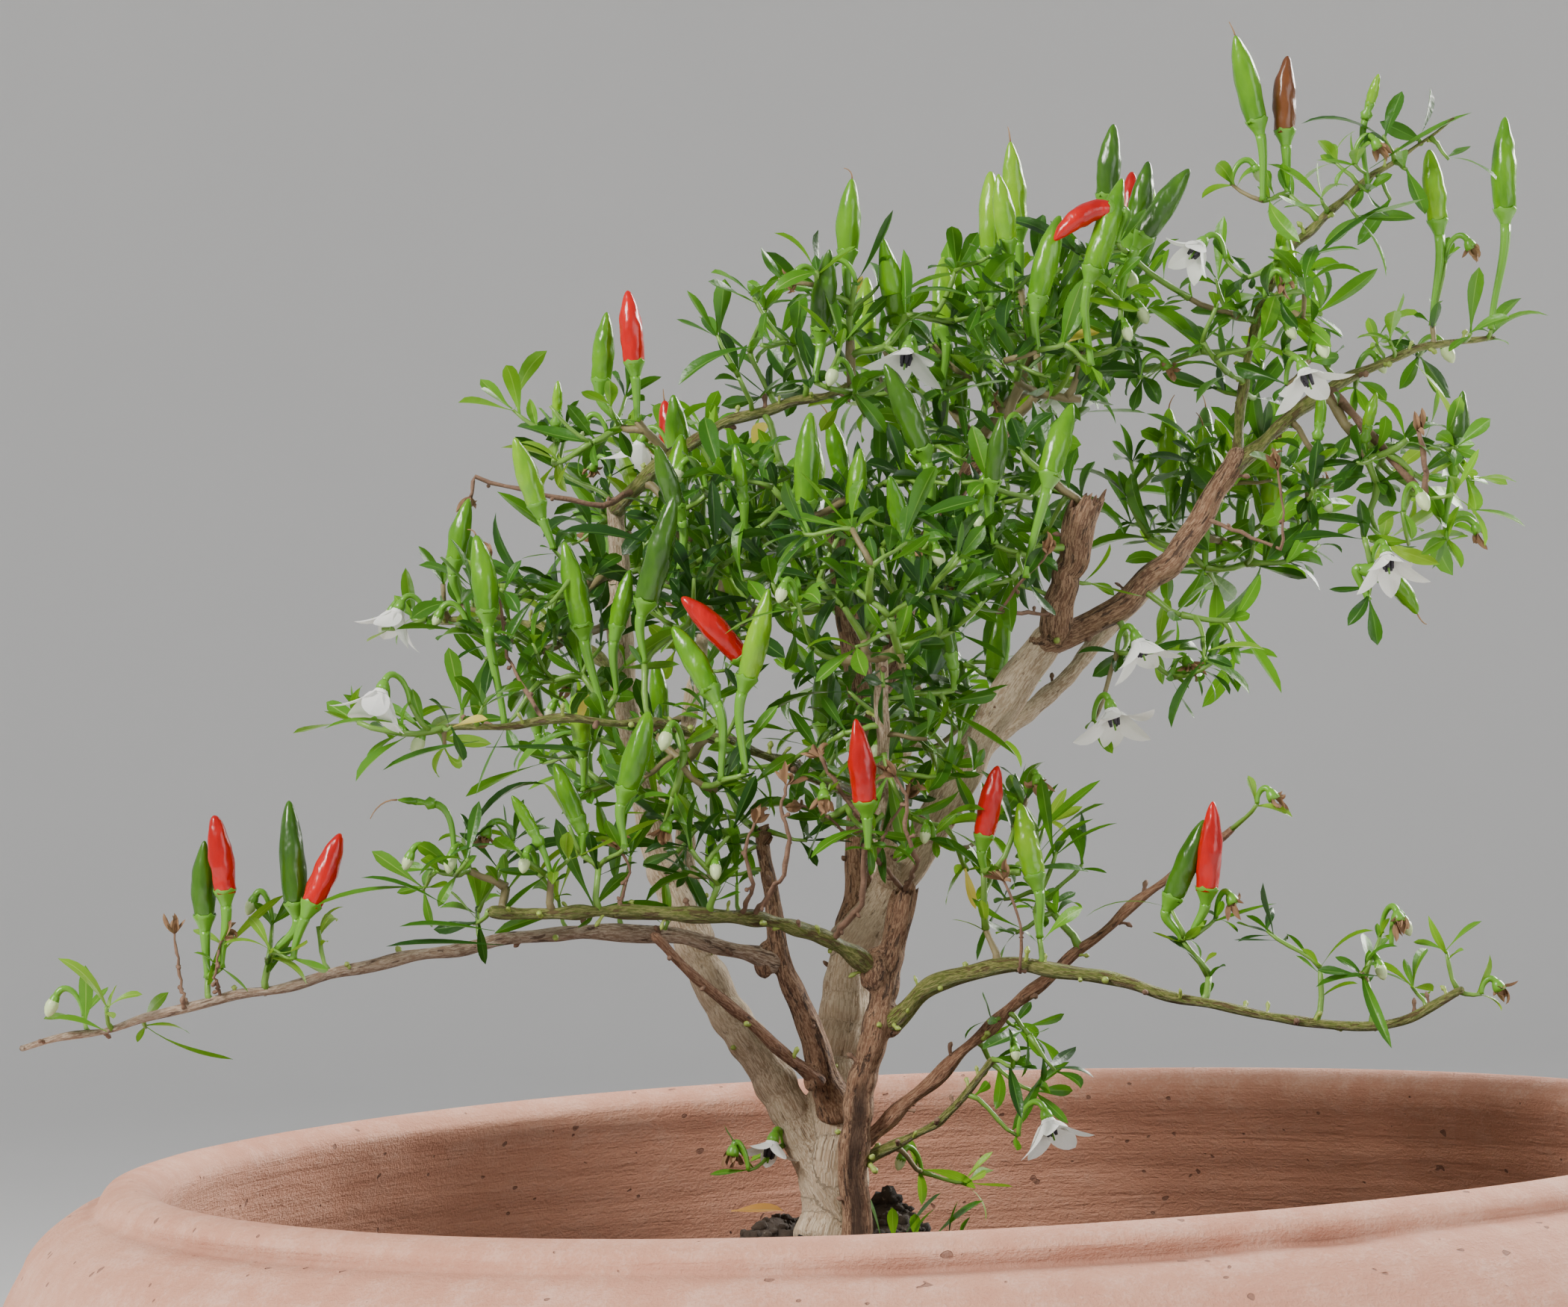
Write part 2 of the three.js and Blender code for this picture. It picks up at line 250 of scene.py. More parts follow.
class Heap:
    """Points and faces of many small things, joined into pieces under the triangle limit."""

    def __init__(self):
        self.parts = []
        self.things = 0

    def grid(self, rows, ring=False, caps=(False, False), marks=None):
        """Adds a grid of points (rows, columns, 3). A ring joins its last column to its first,
        caps close its ends with a fan, and marks gives each column of faces a material."""
        count, width = rows.shape[:2]
        order = np.arange(count * width).reshape(count, width)
        if ring:
            order = np.hstack([order, order[:, :1]])
        faces = np.stack([order[:-1, :-1], order[:-1, 1:], order[1:, 1:], order[1:, :-1]], -1)
        mark = np.zeros(faces.shape[:2], int) if marks is None else np.tile(marks, (count - 1, 1))
        points = rows.reshape(-1, 3)
        faces = [faces.reshape(-1, 4)]
        mark = [mark.ravel()]
        for row, wanted, flip in ((0, caps[0], 1), (-1, caps[1], -1)):
            if wanted:
                points = np.vstack([points, rows[row].mean(0)])
                fan = np.stack([order[row, 1:], order[row, :-1]][::flip], -1)
                tip = np.full((len(fan), 1), len(points) - 1)
                faces.append(np.hstack([fan, tip, np.full_like(tip, -1)]))
                mark.append(np.zeros(len(fan), int))
        self.parts.append((points, np.vstack(faces), np.concatenate(mark)))
        self.things += 1

    def pieces(self):
        """Splits the heap, whole things at a time, into lists under the triangle limit."""
        lot, triangles = [], 0
        for part in self.parts:
            size = int((part[1][:, 3] >= 0).sum() * 2 + (part[1][:, 3] < 0).sum())
            if lot and triangles + size > FACES_LIMIT:
                yield lot
                lot, triangles = [], 0
            lot.append(part)
            triangles += size
        if lot:
            yield lot

    def make(self, name, slot, finishes, replaced=()):
        """Builds the heap's pieces, each riding on the one body. Returns them."""
        made = []
        for lot in self.pieces():
            title = name if not made else f"{name}_{len(made) + 1}"
            piece = mesh_piece(title, *join(lot), slot, finishes)
            made.append(piece)
        if replaced:
            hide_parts(*replaced)
        return made


def join(lot):
    """Points, faces and marks of several parts as one."""
    starts = np.cumsum([0] + [len(points) for points, _, _ in lot])
    faces = [np.where(f >= 0, f + start, -1) for (_, f, _), start in zip(lot, starts)]
    return np.vstack([p for p, _, _ in lot]), np.vstack(faces), np.concatenate([m for _, _, m in lot])

# %% [markdown]
# The arrays have to become mesh objects. Blender's bulk calls fill a mesh in a few steps, which
# is far quicker than adding faces one by one, and the same helper gives the piece its finish
# and its body.

# %% A piece from arrays
def bare_mesh(name, points, faces):
    """A smooth mesh. A face's fourth corner may be -1, for a triangle."""
    mesh = bpy.data.meshes.new(name)
    sizes = np.where(faces[:, 3] >= 0, 4, 3)
    corners = faces.ravel()
    corners = corners[corners >= 0]
    mesh.vertices.add(len(points))
    mesh.vertices.foreach_set("co", np.asarray(points, np.float32).ravel())
    mesh.loops.add(len(corners))
    mesh.loops.foreach_set("vertex_index", corners.astype(np.int32))
    mesh.polygons.add(len(faces))
    mesh.polygons.foreach_set("loop_start", np.concatenate([[0], np.cumsum(sizes)[:-1]]).astype(np.int32))
    mesh.polygons.foreach_set("loop_total", sizes.astype(np.int32))
    mesh.polygons.foreach_set("use_smooth", np.ones(len(faces), bool))
    mesh.update(calc_edges=True)
    return mesh


def mesh_piece(name, points, faces, marks, slot, finishes):
    """A mesh object in its place, with its finishes and body. The slot is not used."""
    mesh = bare_mesh(name, points, faces)
    for finish in finishes:
        mesh.materials.append(finish.material)
    mesh.polygons.foreach_set("material_index", marks.astype(np.int32))
    piece = bpy.data.objects.new(name, mesh)
    bpy.context.scene.collection.objects.link(piece)
    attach(piece, "root")
    print(f"{name}: {int(np.where(faces[:, 3] >= 0, 2, 1).sum())} triangles")
    return piece

# %% [markdown]
# ## The stage
# The object is judged from every side, so the floor is a wide dish: flat under the pot and far
# past the camera, then turned up into a wall, with no corner and no horizon from any side.

# %% Floor and backdrop
def lathe_rows(profile, segments):
    """Rows of points, one for each (radius, height) of a profile, going round the z axis."""
    turn = np.arange(segments) / segments * 2 * math.pi
    radius, height = np.array(profile, float).T
    rows = np.zeros((len(profile), segments, 3))
    rows[..., 0] = radius[:, None] * np.cos(turn)
    rows[..., 1] = radius[:, None] * np.sin(turn)
    rows[..., 2] = height[:, None]
    return rows


FLAT = 4.6
BEND = 2.2
WALL = 5.0
bend = [(FLAT + BEND * math.sin(a), BEND * (1 - math.cos(a))) for a in np.linspace(0, math.pi / 2, 16)]
dish = [(0.02, 0.0), (1.0, 0.0), (FLAT, 0.0), *bend[1:], (FLAT + BEND, WALL)]

paper = Finish("backdrop_paper", Roughness=0.9)
fibre = paper.noise(paper.place(), 3.0)
paper.set(Base_Color=paper.blend(fibre, (0.86, 0.85, 0.835), (0.89, 0.88, 0.865)))

floor = Heap()
floor.grid(lathe_rows(dish, 96)[:, ::-1], ring=True, caps=(True, False))
backdrop = mesh_piece("backdrop", *join(floor.parts), "soil", [paper])
backdrop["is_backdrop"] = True

# %% [markdown]
# ## The light
# One big soft source from the upper left and in front models the fruit and the pot, a second
# from behind on the right draws bright edges on leaves and pods, and a faint one fills the
# shadow side. The world adds an even, pale light from the open top of the dish.

# %% Lamps
def softbox(name, place, size, power, colour, aim=(0, 0, 0.45)):
    lamp = bpy.data.lights.new(name, "AREA")
    lamp.size = size
    lamp.energy = power
    lamp.color = colour
    box = bpy.data.objects.new(name, lamp)
    box.location = place
    box.rotation_euler = (Vector(aim) - Vector(place)).to_track_quat("-Z", "Y").to_euler()
    box.visible_camera = False
    bpy.context.scene.collection.objects.link(box)


softbox("key_light", (-1.5, -1.3, 1.9), 0.6, 84, (1.0, 0.97, 0.93))
softbox("rim_light", (1.4, 1.2, 1.3), 0.9, 84, (1.0, 0.98, 0.95))
softbox("fill_light", (1.6, -1.6, 0.9), 1.2, 16, (0.95, 0.97, 1.0))

sky = bpy.data.worlds.new("pale_sky")
sky.use_nodes = True
sky.node_tree.nodes["Background"].inputs["Color"].default_value = (0.93, 0.96, 1.0, 1.0)
sky.node_tree.nodes["Background"].inputs["Strength"].default_value = 0.42
bpy.context.scene.world = sky

# %% [markdown]
# ## Smooth unevenness in Python
# Hand-thrown clay, soil and bark are never quite regular. A few sine waves along random
# directions give a smooth uneven number for any set of points at once, which Blender's own
# noise function does only one point at a time.

# %% Waves
def waves(seed, count, pitch):
    """A function of points (n, 3) that gives a smooth number, mostly between -1 and 1."""
    roll = np.random.default_rng(seed)
    axes = roll.normal(size=(count, 3))
    axes /= np.linalg.norm(axes, axis=1)[:, None]
    pitches = pitch * roll.uniform(0.6, 1.6, count)
    phases = roll.uniform(0, 2 * math.pi, count)

    def height(points, stretch=(1, 1, 1)):
        reach = (points * np.array(stretch)) @ axes.T
        return np.sin(reach * pitches + phases).sum(-1) / math.sqrt(count) * 1.1

    return height

# %% [markdown]
# ## The pot
# The real pot was thrown on a wheel: a rounded shoulder, a rolled lip with an irregular groove
# pressed under it, and the fine rings that fingers leave inside. A lathed profile gives the
# form, and the rings, the uneven groove and a slight wobble are moves of its points, so that
# they show in the outline too. Bump then only has to carry the sandy grain.

# %% Pot profile
pot_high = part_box("pot")[1]
POT_TOP = pot_high.z
BELLY = pot_high.x
CREST = BELLY - 37 * MM
FOOT = BELLY - 99 * MM
DRAIN = 13 * MM
FLOOR = 15 * MM
SHELL = 17 * MM
SOIL_DROP = 57 * MM


def curve_through(points, spacing):
    """Evenly spaced points on a smooth curve through the given ones."""
    points = np.array(points, float)
    padded = np.vstack([2 * points[0] - points[1], points, 2 * points[-1] - points[-2]])
    out = []
    for i in range(1, len(padded) - 2):
        p0, p1, p2, p3 = padded[i - 1:i + 3]
        steps = max(2, int(np.linalg.norm(p2 - p1) / spacing))
        t = (np.arange(steps) / steps)[:, None]
        out.append(0.5 * (2 * p1 + (p2 - p0) * t + (2 * p0 - 5 * p1 + 4 * p2 - p3) * t ** 2
                          + (3 * p1 - p0 - 3 * p2 + p3) * t ** 3))
    return np.vstack(out + [points[-1:]])


def close_at_the_lip(fine):
    """Keeps few points of an outline low down, and many at the lip where the groove is."""
    kept, gap = [fine[0]], 0.0
    for last, point in zip(fine[:-1], fine[1:]):
        gap += np.linalg.norm(point - last)
        drop = POT_TOP - point[1]
        if gap > np.interp(drop / MM, [13, 18, 60, 75], [1.0, 2.0, 2.2, 3.6]) * MM:
            kept.append(point)
            gap = 0.0
    return np.array(kept)


def pot_profile():
    """(radius, height) from the edge of the drain hole, out, up, over the lip and down inside."""
    swell = [(FOOT + (BELLY - FOOT) * math.sin(t * math.pi / 2) ** 0.85, t * (POT_TOP - 52 * MM))
             for t in np.linspace(0, 1, 8)]
    swell[0] = (FOOT - 1.5 * MM, 0.0)
    swell.insert(1, (FOOT + 1.0 * MM, 2.0 * MM))
    shoulder = [(BELLY - inset * MM, POT_TOP - drop * MM)
                for inset, drop in ((2, 34), (6.5, 24), (10.8, 17.5), (15, 13), (20, 9.4), (24.5, 7.0))]
    lip = [(CREST + out * MM, POT_TOP - drop * MM)
           for out, drop in ((9.3, 6.1), (8.2, 4.2), (5, 1.2), (0, 0), (-4.6, 1.4), (-7.6, 4.6), (-7.3, 8.5),
                             (-5.6, 12), (-1.5, 21), (2, 30))]
    within = [(CREST + 12 * MM, POT_TOP - SOIL_DROP), (BELLY - SHELL, POT_TOP - 95 * MM)]
    narrow = FOOT - 12 * MM
    inside = POT_TOP - 95 * MM
    within += [(narrow + (BELLY - SHELL - narrow) * math.cos(t * math.pi / 2) ** 0.85,
                inside + (FLOOR - inside) * t) for t in (0.33, 0.66, 0.9, 1.0)]
    under = [(DRAIN + 1.5 * MM, 0.0), (FOOT * 0.6, 0.0)]
    top = [(narrow * 0.6, FLOOR), (DRAIN, FLOOR)]
    outline = close_at_the_lip(curve_through(swell[1:] + shoulder + lip + within, 0.5 * MM))
    return np.vstack([under, swell[:1], outline, top, [(DRAIN, FLOOR * 0.5), (DRAIN, 1.5 * MM)]])

# %% [markdown]
# The profile is turned into rows of points, and then the marks of the maker's hands are pressed
# in: fine rings, finger marks, a slight wobble, and the groove under the lip, which is torn
# deeper in two places where the clay dragged. Two shares are kept for the finish: how far a
# point is inside, for painted shade in the redder tone of the inner wall, and how deep in the
# crease, for painted shade in the groove.

# %% Throw the pot
ROUND = 288
TORN_AT = ((math.radians(-74), 1.1), (math.radians(-88), 0.6))
profile = pot_profile()
clay = lathe_rows(profile, ROUND)
turns = np.arange(ROUND) / ROUND * 2 * math.pi
outward = np.stack([np.cos(turns), np.sin(turns), np.zeros(ROUND)], -1)[None]
circle = np.stack([np.cos(turns), np.sin(turns), np.zeros(ROUND)], -1)

height = clay[..., 2]
radius = np.linalg.norm(clay[..., :2], axis=-1)
inside_wall = (np.arange(len(profile)) > np.argmax(profile[:, 1]))[:, None] & (height > FLOOR + 2 * MM)
outside_wall = ~inside_wall & (height > 3 * MM)

wobble = waves(11, 3, 2.0)(circle) * 0.5 * MM
rings = waves(12, 9, 900.0)(clay, (0.02, 0.02, 1.0)) * 0.13 * MM
fingers = waves(13, 6, 260.0)(clay, (0.05, 0.05, 1.0)) * 0.30 * MM
drop = POT_TOP - height
groove = np.exp(-((drop - 5.8 * MM) / (1.6 * MM)) ** 2) * (radius > CREST + 4 * MM)
torn = sum(share * np.exp(-(((turns - turn + math.pi) % (2 * math.pi) - math.pi) / 0.16) ** 2)
           for turn, share in TORN_AT)
uneven = np.clip(1 + 0.5 * waves(17, 6, 45.0)(circle), 0.2, 2)
pressed = (np.clip(0.55 + 0.5 * waves(14, 7, 7.0)(circle), 0, 1.2) + torn * uneven)[None] * 1.4 * MM
ripple = waves(15, 10, 300.0)(clay) * 0.16 * MM

shift = wobble[None] * (height > 3 * MM)
shift = shift + np.where(inside_wall, rings + fingers, 0) + np.where(outside_wall, rings * 0.25, 0)
shift = shift - groove * pressed + ripple * (height > 3 * MM)
dip = groove * pressed * 0.6 + waves(16, 4, 3.0)(circle)[None] * 0.5 * MM * (drop < 20 * MM)
clay = clay + outward * shift[..., None]
clay[..., 2] -= dip
clay = np.concatenate([clay, clay[:1]])
# crease: how deep a point is in the groove under the lip; the finish darkens it as painted shade
crease = np.clip(groove * pressed / (2.2 * MM), 0, 1)
# within: how far down the inner wall a point is; the finish paints it in the redder tone of its shade
within = np.where(inside_wall, np.clip((drop - 4 * MM) / (14 * MM), 0, 1), 0)
print("pot rows:", len(clay), "groove up to", round(float(pressed.max() / MM), 2), "mm deep")

# %% [markdown]
# The clay is a pale pinkish terracotta, sandy to the touch, with a thin bloom of dust. Fingers
# dragged it round into low uneven ripples, much longer than they are high. Specks and small
# pits are scattered all over. The inner wall is painted in the redder tone of its shade, and the
# groove under the lip is painted dark as shade. All of it is worked out from the place on the pot.

# %% Terracotta
terracotta = Finish("terracotta", Roughness=0.86)
clay_place = terracotta.place()
broad = terracotta.noise(clay_place, 7.0, 5.0, 0.6)
mottle = terracotta.noise(clay_place, 95.0, 6.0, 0.7)
grain = terracotta.noise(clay_place, 1100.0, 3.0, 0.7)
drag = terracotta.noise(terracotta.place((13.0, 13.0, 260.0)), 1.0, 5.0, 0.6, 0.3)
streak = terracotta.noise(terracotta.place((150.0, 150.0, 480.0)), 1.0, 5.0, 0.65, 0.4)
inner = terracotta.add("ShaderNodeAttribute", {"attribute_name": "within"}, 2)
groove_shade = terracotta.add("ShaderNodeAttribute", {"attribute_name": "crease"}, 2)
speck = terracotta.noise(clay_place, 240.0, 1.0)
deep = terracotta.mask(broad * 0.5 + mottle * 0.35 + streak * 0.15, 0.38, 0.64)
fired = terracotta.blend(deep, (0.60, 0.275, 0.180), (0.69, 0.365, 0.250))
# Painted shade: the inner wall is blended towards the redder tone that the clay shows in the shade inside the
# pot.
clay_and_inner_shade = terracotta.blend(inner * 0.65, fired, (0.80, 0.385, 0.250))
bloom = terracotta.mask(drag * 0.2 + mottle * 0.45 + grain * 0.35, 0.47, 0.62) * 0.38
dust_and_painted_shade = terracotta.blend(bloom * (1 - inner * 0.55), clay_and_inner_shade, (0.80, 0.53, 0.42))
# Painted shade: the groove under the lip is darkened where its shadow falls.
dust_and_painted_shade = terracotta.blend(groove_shade * 0.62, dust_and_painted_shade, (0.26, 0.105, 0.065))
dark_specks = terracotta.mask(speck, 0.735, 0.76)
terracotta.set(Base_Color=terracotta.blend(dark_specks * 0.7, dust_and_painted_shade, (0.17, 0.085, 0.06)))
terracotta.set(Roughness=0.78 + mottle * 0.16)
relief = grain * 0.55 + drag * 1.0 + streak * (0.3 + inner * 0.35) + mottle * 0.5 - dark_specks * 0.8
terracotta.bump(relief, 0.0013, 0.8)

pot_heap = Heap()
pot_heap.grid(clay, ring=True)
pot = pot_heap.make("terracotta_pot", "terracotta", [terracotta], ["pot"])[0]
for title, amount in (("within", within), ("crease", crease)):
    amount = np.concatenate([amount, amount[:1]]).astype(np.float32)
    pot.data.attributes.new(title, "FLOAT", "POINT").data.foreach_set("value", amount.ravel())

# %% [markdown]
# ## The soil
# Dark crumbly soil, level at the wall and heaped about the trunk. The surface is a polar grid
# with lumps, closed underneath, and loose crumbs of several sizes lie on it: at this distance
# the crumbs are what makes it read as soil.

# %% Surface of the soil
trunk_low, trunk_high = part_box("trunk")
SOIL_LEVEL = POT_TOP - SOIL_DROP
GROUND = trunk_low.z
TRUNK_FOOT = Vector(((trunk_low.x + trunk_high.x) / 2 - 1 * MM, -1 * MM, GROUND))
HEAP_REACH = 46 * MM
HEAP_FLAT = 15 * MM
CLODS = ((-16, 6, 4.5, 7), (-25, 2, 3.5, 6), (15, 14, 8.0, 7), (24, 10, 3.0, 8),
         (-6, 20, 3, 9), (4, -22, 2, 8))
coarse = waves(21, 9, 95.0)
fine = waves(22, 14, 520.0)


def soil_height(points):
    """Height of the soil at points (n, 3), whose own heights are ignored."""
    flat = points * np.array([1.0, 1.0, 0.0])
    away = np.hypot(points[..., 0] - TRUNK_FOOT.x, points[..., 1] - TRUNK_FOOT.y)
    slope = np.clip((HEAP_REACH + HEAP_FLAT - away) / HEAP_REACH, 0, 1)
    slope = slope * slope * (3 - 2 * slope)
    rough = coarse(flat) * 1.3 * MM + fine(flat) * 0.7 * MM
    for x, y, rise, reach in CLODS:
        gap = np.hypot(points[..., 0] - TRUNK_FOOT.x - x * MM, points[..., 1] - y * MM)
        rough = rough + rise * MM * np.exp(-(gap / (reach * MM)) ** 2)
    return SOIL_LEVEL + (GROUND + 0.6 * MM - SOIL_LEVEL) * slope + rough


wall_radius = CREST + 11.2 * MM
reaches = np.concatenate([np.linspace(3, 90, 56), np.linspace(93, wall_radius / MM, 46)]) * MM
surface = lathe_rows([(r, 0.0) for r in reaches], 200)
surface[..., 2] = soil_height(surface)
skirt = lathe_rows([(wall_radius - 0.5 * MM, SOIL_LEVEL - 9 * MM), (20 * MM, SOIL_LEVEL - 9 * MM)], 200)
soil_rows = np.concatenate([surface, skirt])[:, ::-1]

soil_paint = Finish("dark_soil", Roughness=0.95)
soil_place = soil_paint.place()
damp = soil_paint.mask(soil_paint.noise(soil_place, 45.0), 0.35, 0.65)
peat = soil_paint.blend(damp, (0.010, 0.007, 0.005), (0.055, 0.038, 0.026))
grit = soil_paint.mask(soil_paint.noise(soil_place, 420.0, 2.0), 0.64, 0.72)
soil_paint.set(Base_Color=soil_paint.blend(grit, peat, (0.16, 0.13, 0.10)))
soil_paint.bump(soil_paint.noise(soil_place, 650.0, 5.0, 0.7), 0.001, 0.8)

soil_heap = Heap()
soil_heap.grid(soil_rows, ring=True, caps=(True, True))
soil_heap.make("soil_surface", "soil", [soil_paint], ["soil"])

# %% [markdown]
# Loose crumbs are little uneven rings of points, strewn thickly near the trunk and thinly
# further out. Real lumps catch the light at their edges, which bump alone can't do.

# %% Crumbs
CRUMBS = 2600
crumb_roll = np.random.default_rng(23)
crumb_turn = np.linspace(0, 2 * math.pi, 7)[:-1]
crumb_heap = Heap()
for _ in range(CRUMBS):
    heaped = crumb_roll.random() < 0.45
    away = (crumb_roll.uniform(0.2, 1.0) * 62 * MM if heaped
            else math.sqrt(crumb_roll.random()) * (wall_radius - 6 * MM))
    turn = crumb_roll.uniform(0, 2 * math.pi)
    middle = np.array([TRUNK_FOOT.x if heaped else 0.0, 0.0, 0.0])
    spot = middle + np.array([math.cos(turn), math.sin(turn), 0.0]) * away
    spot[2] = soil_height(spot[None])[0]
    size = crumb_roll.lognormal(0.0, 0.50) * 0.95 * MM
    lean = crumb_roll.uniform(0, math.pi)
    rows = []
    for sink, reach in ((-0.6, 0.6), (0.0, 1.0), (0.65, 0.55)):
        spread = reach * size * crumb_roll.uniform(0.55, 1.35, 6)
        level = sink * size * crumb_roll.uniform(0.8, 1.2, 6)
        rows.append(np.stack([np.cos(crumb_turn + lean) * spread,
                              np.sin(crumb_turn + lean) * spread * 0.8, level], -1))
    crumb_heap.grid(np.array(rows) + spot, ring=True, caps=(True, True))
crumb_heap.make("soil_crumbs", "soil", [soil_paint])

# %% [markdown]
# ## Reading the boughs back from the model
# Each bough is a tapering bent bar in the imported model. Cutting its mesh with a row of planes
# across its length gives the middle and the thickness at each cut, which is all that is needed
# to draw it again with bark on. The thicker end is the foot, or the lower one if both are alike.

# %% Centrelines
STATIONS = 13


def crossings(points, edges, reach, where):
    """Where a mesh's edges cross the plane at that reach along an axis."""
    first, second = reach[edges[:, 0]] - where, reach[edges[:, 1]] - where
    cut = first * second < 0
    share = (first[cut] / (first[cut] - second[cut]))[:, None]
    return points[edges[cut, 0]] * (1 - share) + points[edges[cut, 1]] * share


def centreline(node):
    """(middles (n, 3), radii (n,)) of a bough from its foot to its tip."""
    mesh = frame["nodes"][node].data
    points = np.array([v.co for v in mesh.vertices])
    edges = np.array([e.vertices for e in mesh.edges])
    axis = np.linalg.svd(points - points.mean(0), full_matrices=False)[2][0]
    reach = points @ axis
    low, high = reach.min(), reach.max()
    cuts = [crossings(points, edges, reach, low + (high - low) * t)
            for t in np.linspace(0.03, 0.985, STATIONS)]
    middles = np.array([c.mean(0) for c in cuts])
    along = np.gradient(middles, axis=0)
    along /= np.linalg.norm(along, axis=1)[:, None]
    radii = []
    for cut, middle, way in zip(cuts, middles, along):
        away = cut - middle
        away -= (away @ way)[:, None] * way
        radii.append(np.linalg.norm(away, axis=1).mean())
    radii = np.array(radii)
    swell = radii[3:6].mean() / radii[-6:-3].mean()
    falls = middles[0][2] > middles[-1][2]
    if swell < 0.93 or (swell < 1.07 and falls):
        middles, radii = middles[::-1].copy(), radii[::-1].copy()
    return mended(middles, radii)


def mended(middles, radii):
    """A foot is cut slantwise by its parent, so its first stations come from those after it."""
    share = np.linspace(0, 1, len(radii))
    slope, start = np.polyfit(share[3:-1], radii[3:-1], 1)
    fair = start + slope * share
    for i in (2, 1, 0):
        if radii[i] < 0.9 * fair[i]:
            middles[i] = 2 * middles[i + 1] - middles[i + 2]
            radii[i] = fair[i]
    return middles, radii


boughs = {}
for slot in ("grey_bark", "brown_bark", "green_stem"):
    for node in nodes_of[slot]:
        boughs[node] = centreline(node)
        print(node, "radius", (boughs[node][1][[0, -1]] / MM).round(1), "mm")

# %% [markdown]
# A bough grows out of its parent, so its foot is carried back into the wood and swollen into a
# collar, a slight one where a limb only goes on as its own stub or arm. Old wood also has
# knuckles, where leaves and shoots once stood: the radius swells at uneven steps, and the line
# wavers a little between them.

# %% Grow each bough's fine path
SAWN = ("front_stem", "inner_limb", "right_stub")
BURIED = {"left_limb": 10.0, "right_limb": 4.0, "centre_limb": 4.0, "green_left_arm": -3.4,
          "low_right_arm": -2.0, "right_stub": -4.5, "right_arm": 1.5}
COLLAR = 0.34
STOUT = 2.7 * MM
SLIGHT_COLLAR = {"right_stub": 0.02, "right_arm": 0.12}
THINNED = {"trunk": (16.0, 0.62), "top_sprig": (48.0, 0.34), "right_tip_run": (30.0, 0.7)}


def unit(vectors):
    return vectors / np.maximum(np.linalg.norm(vectors, axis=-1, keepdims=True), 1e-12)


def rounded_off(thick, gap, reach):
    """Draws a radius in over the last part of a bar, where gap runs down to nothing."""
    inside = np.clip(gap / reach, 0, 1)
    return thick * np.sqrt(1 - 0.9 * (1 - inside) ** 2)


def fine_path(node, spacing=0.9 * MM):
    """Middles, radii and distances along a bough, from inside its parent to its tip."""
    middles, radii = boughs[node]
    planted = middles[0][2] < GROUND + 8 * MM
    green = node in nodes_of["green_stem"]
    buried = BURIED.get(node, 0.0) * MM
    collar = SLIGHT_COLLAR.get(node, COLLAR)
    back = 4 * MM if planted else radii[0] * 0.9 + 2.5 * MM + buried
    foot = middles[0] + unit(middles[0] - middles[1]) * back
    tip = middles[-1] + unit(middles[-1] - middles[-2]) * radii[-1] * 0.4
    keys = np.vstack([foot, middles, tip])
    path = curve_through(keys, spacing)
    along = np.concatenate([[0], np.cumsum(np.linalg.norm(np.diff(path, axis=0), axis=1))])
    key_steps = np.concatenate([[0], np.cumsum(np.linalg.norm(np.diff(keys, axis=0), axis=1))])
    key_radii = np.concatenate([radii[:1], radii, radii[-1:]])
    thick = np.interp(along, key_steps * along[-1] / key_steps[-1], key_radii)
    if planted:
        thick = np.minimum(thick, np.interp(18 * MM, along, thick) * 0.97)
    else:
        thick = thick * (1 + collar * np.exp(-np.clip(along - back * 0.6, 0, None) / (1.5 * radii[0])))
        thick = rounded_off(thick, along, radii[0] + max(0.0, buried))
    if node in THINNED:
        reach, share = THINNED[node]
        thick = thick * np.interp(along[-1] - along, [0, reach * MM], [share, 1.0])
    if node in SAWN:
        stump = along > along[-1] - 9 * MM
        thick[stump] = thick[np.argmax(stump)]
    else:
        thick = rounded_off(thick, along[-1] - along, radii[-1])
    seed = sum(map(ord, node))
    line = np.stack([along, along * 0, along * 0], -1)
    knuckle = waves(seed, 6, 2 * math.pi / (11 * MM))(line)
    thick = thick * (1 + (0.13 if green or radii[0] < STOUT else 0.07) * knuckle)
    sway = waves(seed + 1, 4, 2 * math.pi / (24 * MM))(line)
    lift = waves(seed + 2, 4, 2 * math.pi / (21 * MM))(line)
    across = unit(np.cross(np.gradient(path, axis=0), [0.1, 0.2, 1.0]))
    over = unit(np.cross(np.gradient(path, axis=0), across))
    ease = np.minimum(1, along / (10 * MM))[:, None] * min(1.0, radii[0] / (2.5 * MM)) * 0.55 * MM
    return path + (sway[:, None] * across + lift[:, None] * over) * ease, thick, along


paths = {node: fine_path(node) for node in boughs}
print("longest bough", round(max(p[2][-1] for p in paths.values()) / MM), "mm")

# %% [markdown]
# A bough is a bar: rings of points set across its path. The rings must not spin as the path
# bends, so each ring's axes are carried over from the last. Wrinkles and flutes are moves of the
# points along the radius.

# %% Bars with relief
GRAIN_STRETCH = 0.22


def frames_along(path):
    """Two unit vectors across the path at each point, turning as little as possible."""
    way = unit(np.gradient(path, axis=0))
    spare = np.linalg.svd(path - path.mean(0), full_matrices=False)[2][2]
    first = unit(spare - (way @ spare)[:, None] * way)
    return way, first, np.cross(way, first)


def bar_rows(path, radii, sides):
    """Rings of points round a path. radii is (n,) or (n, sides)."""
    _, first, second = frames_along(path)
    turn = np.arange(sides) / sides * 2 * math.pi
    radii = np.broadcast_to(np.asarray(radii).reshape(len(path), -1), (len(path), sides))
    ring = np.cos(turn)[None, :, None] * first[:, None] + np.sin(turn)[None, :, None] * second[:, None]
    return path[:, None] + ring * radii[..., None]


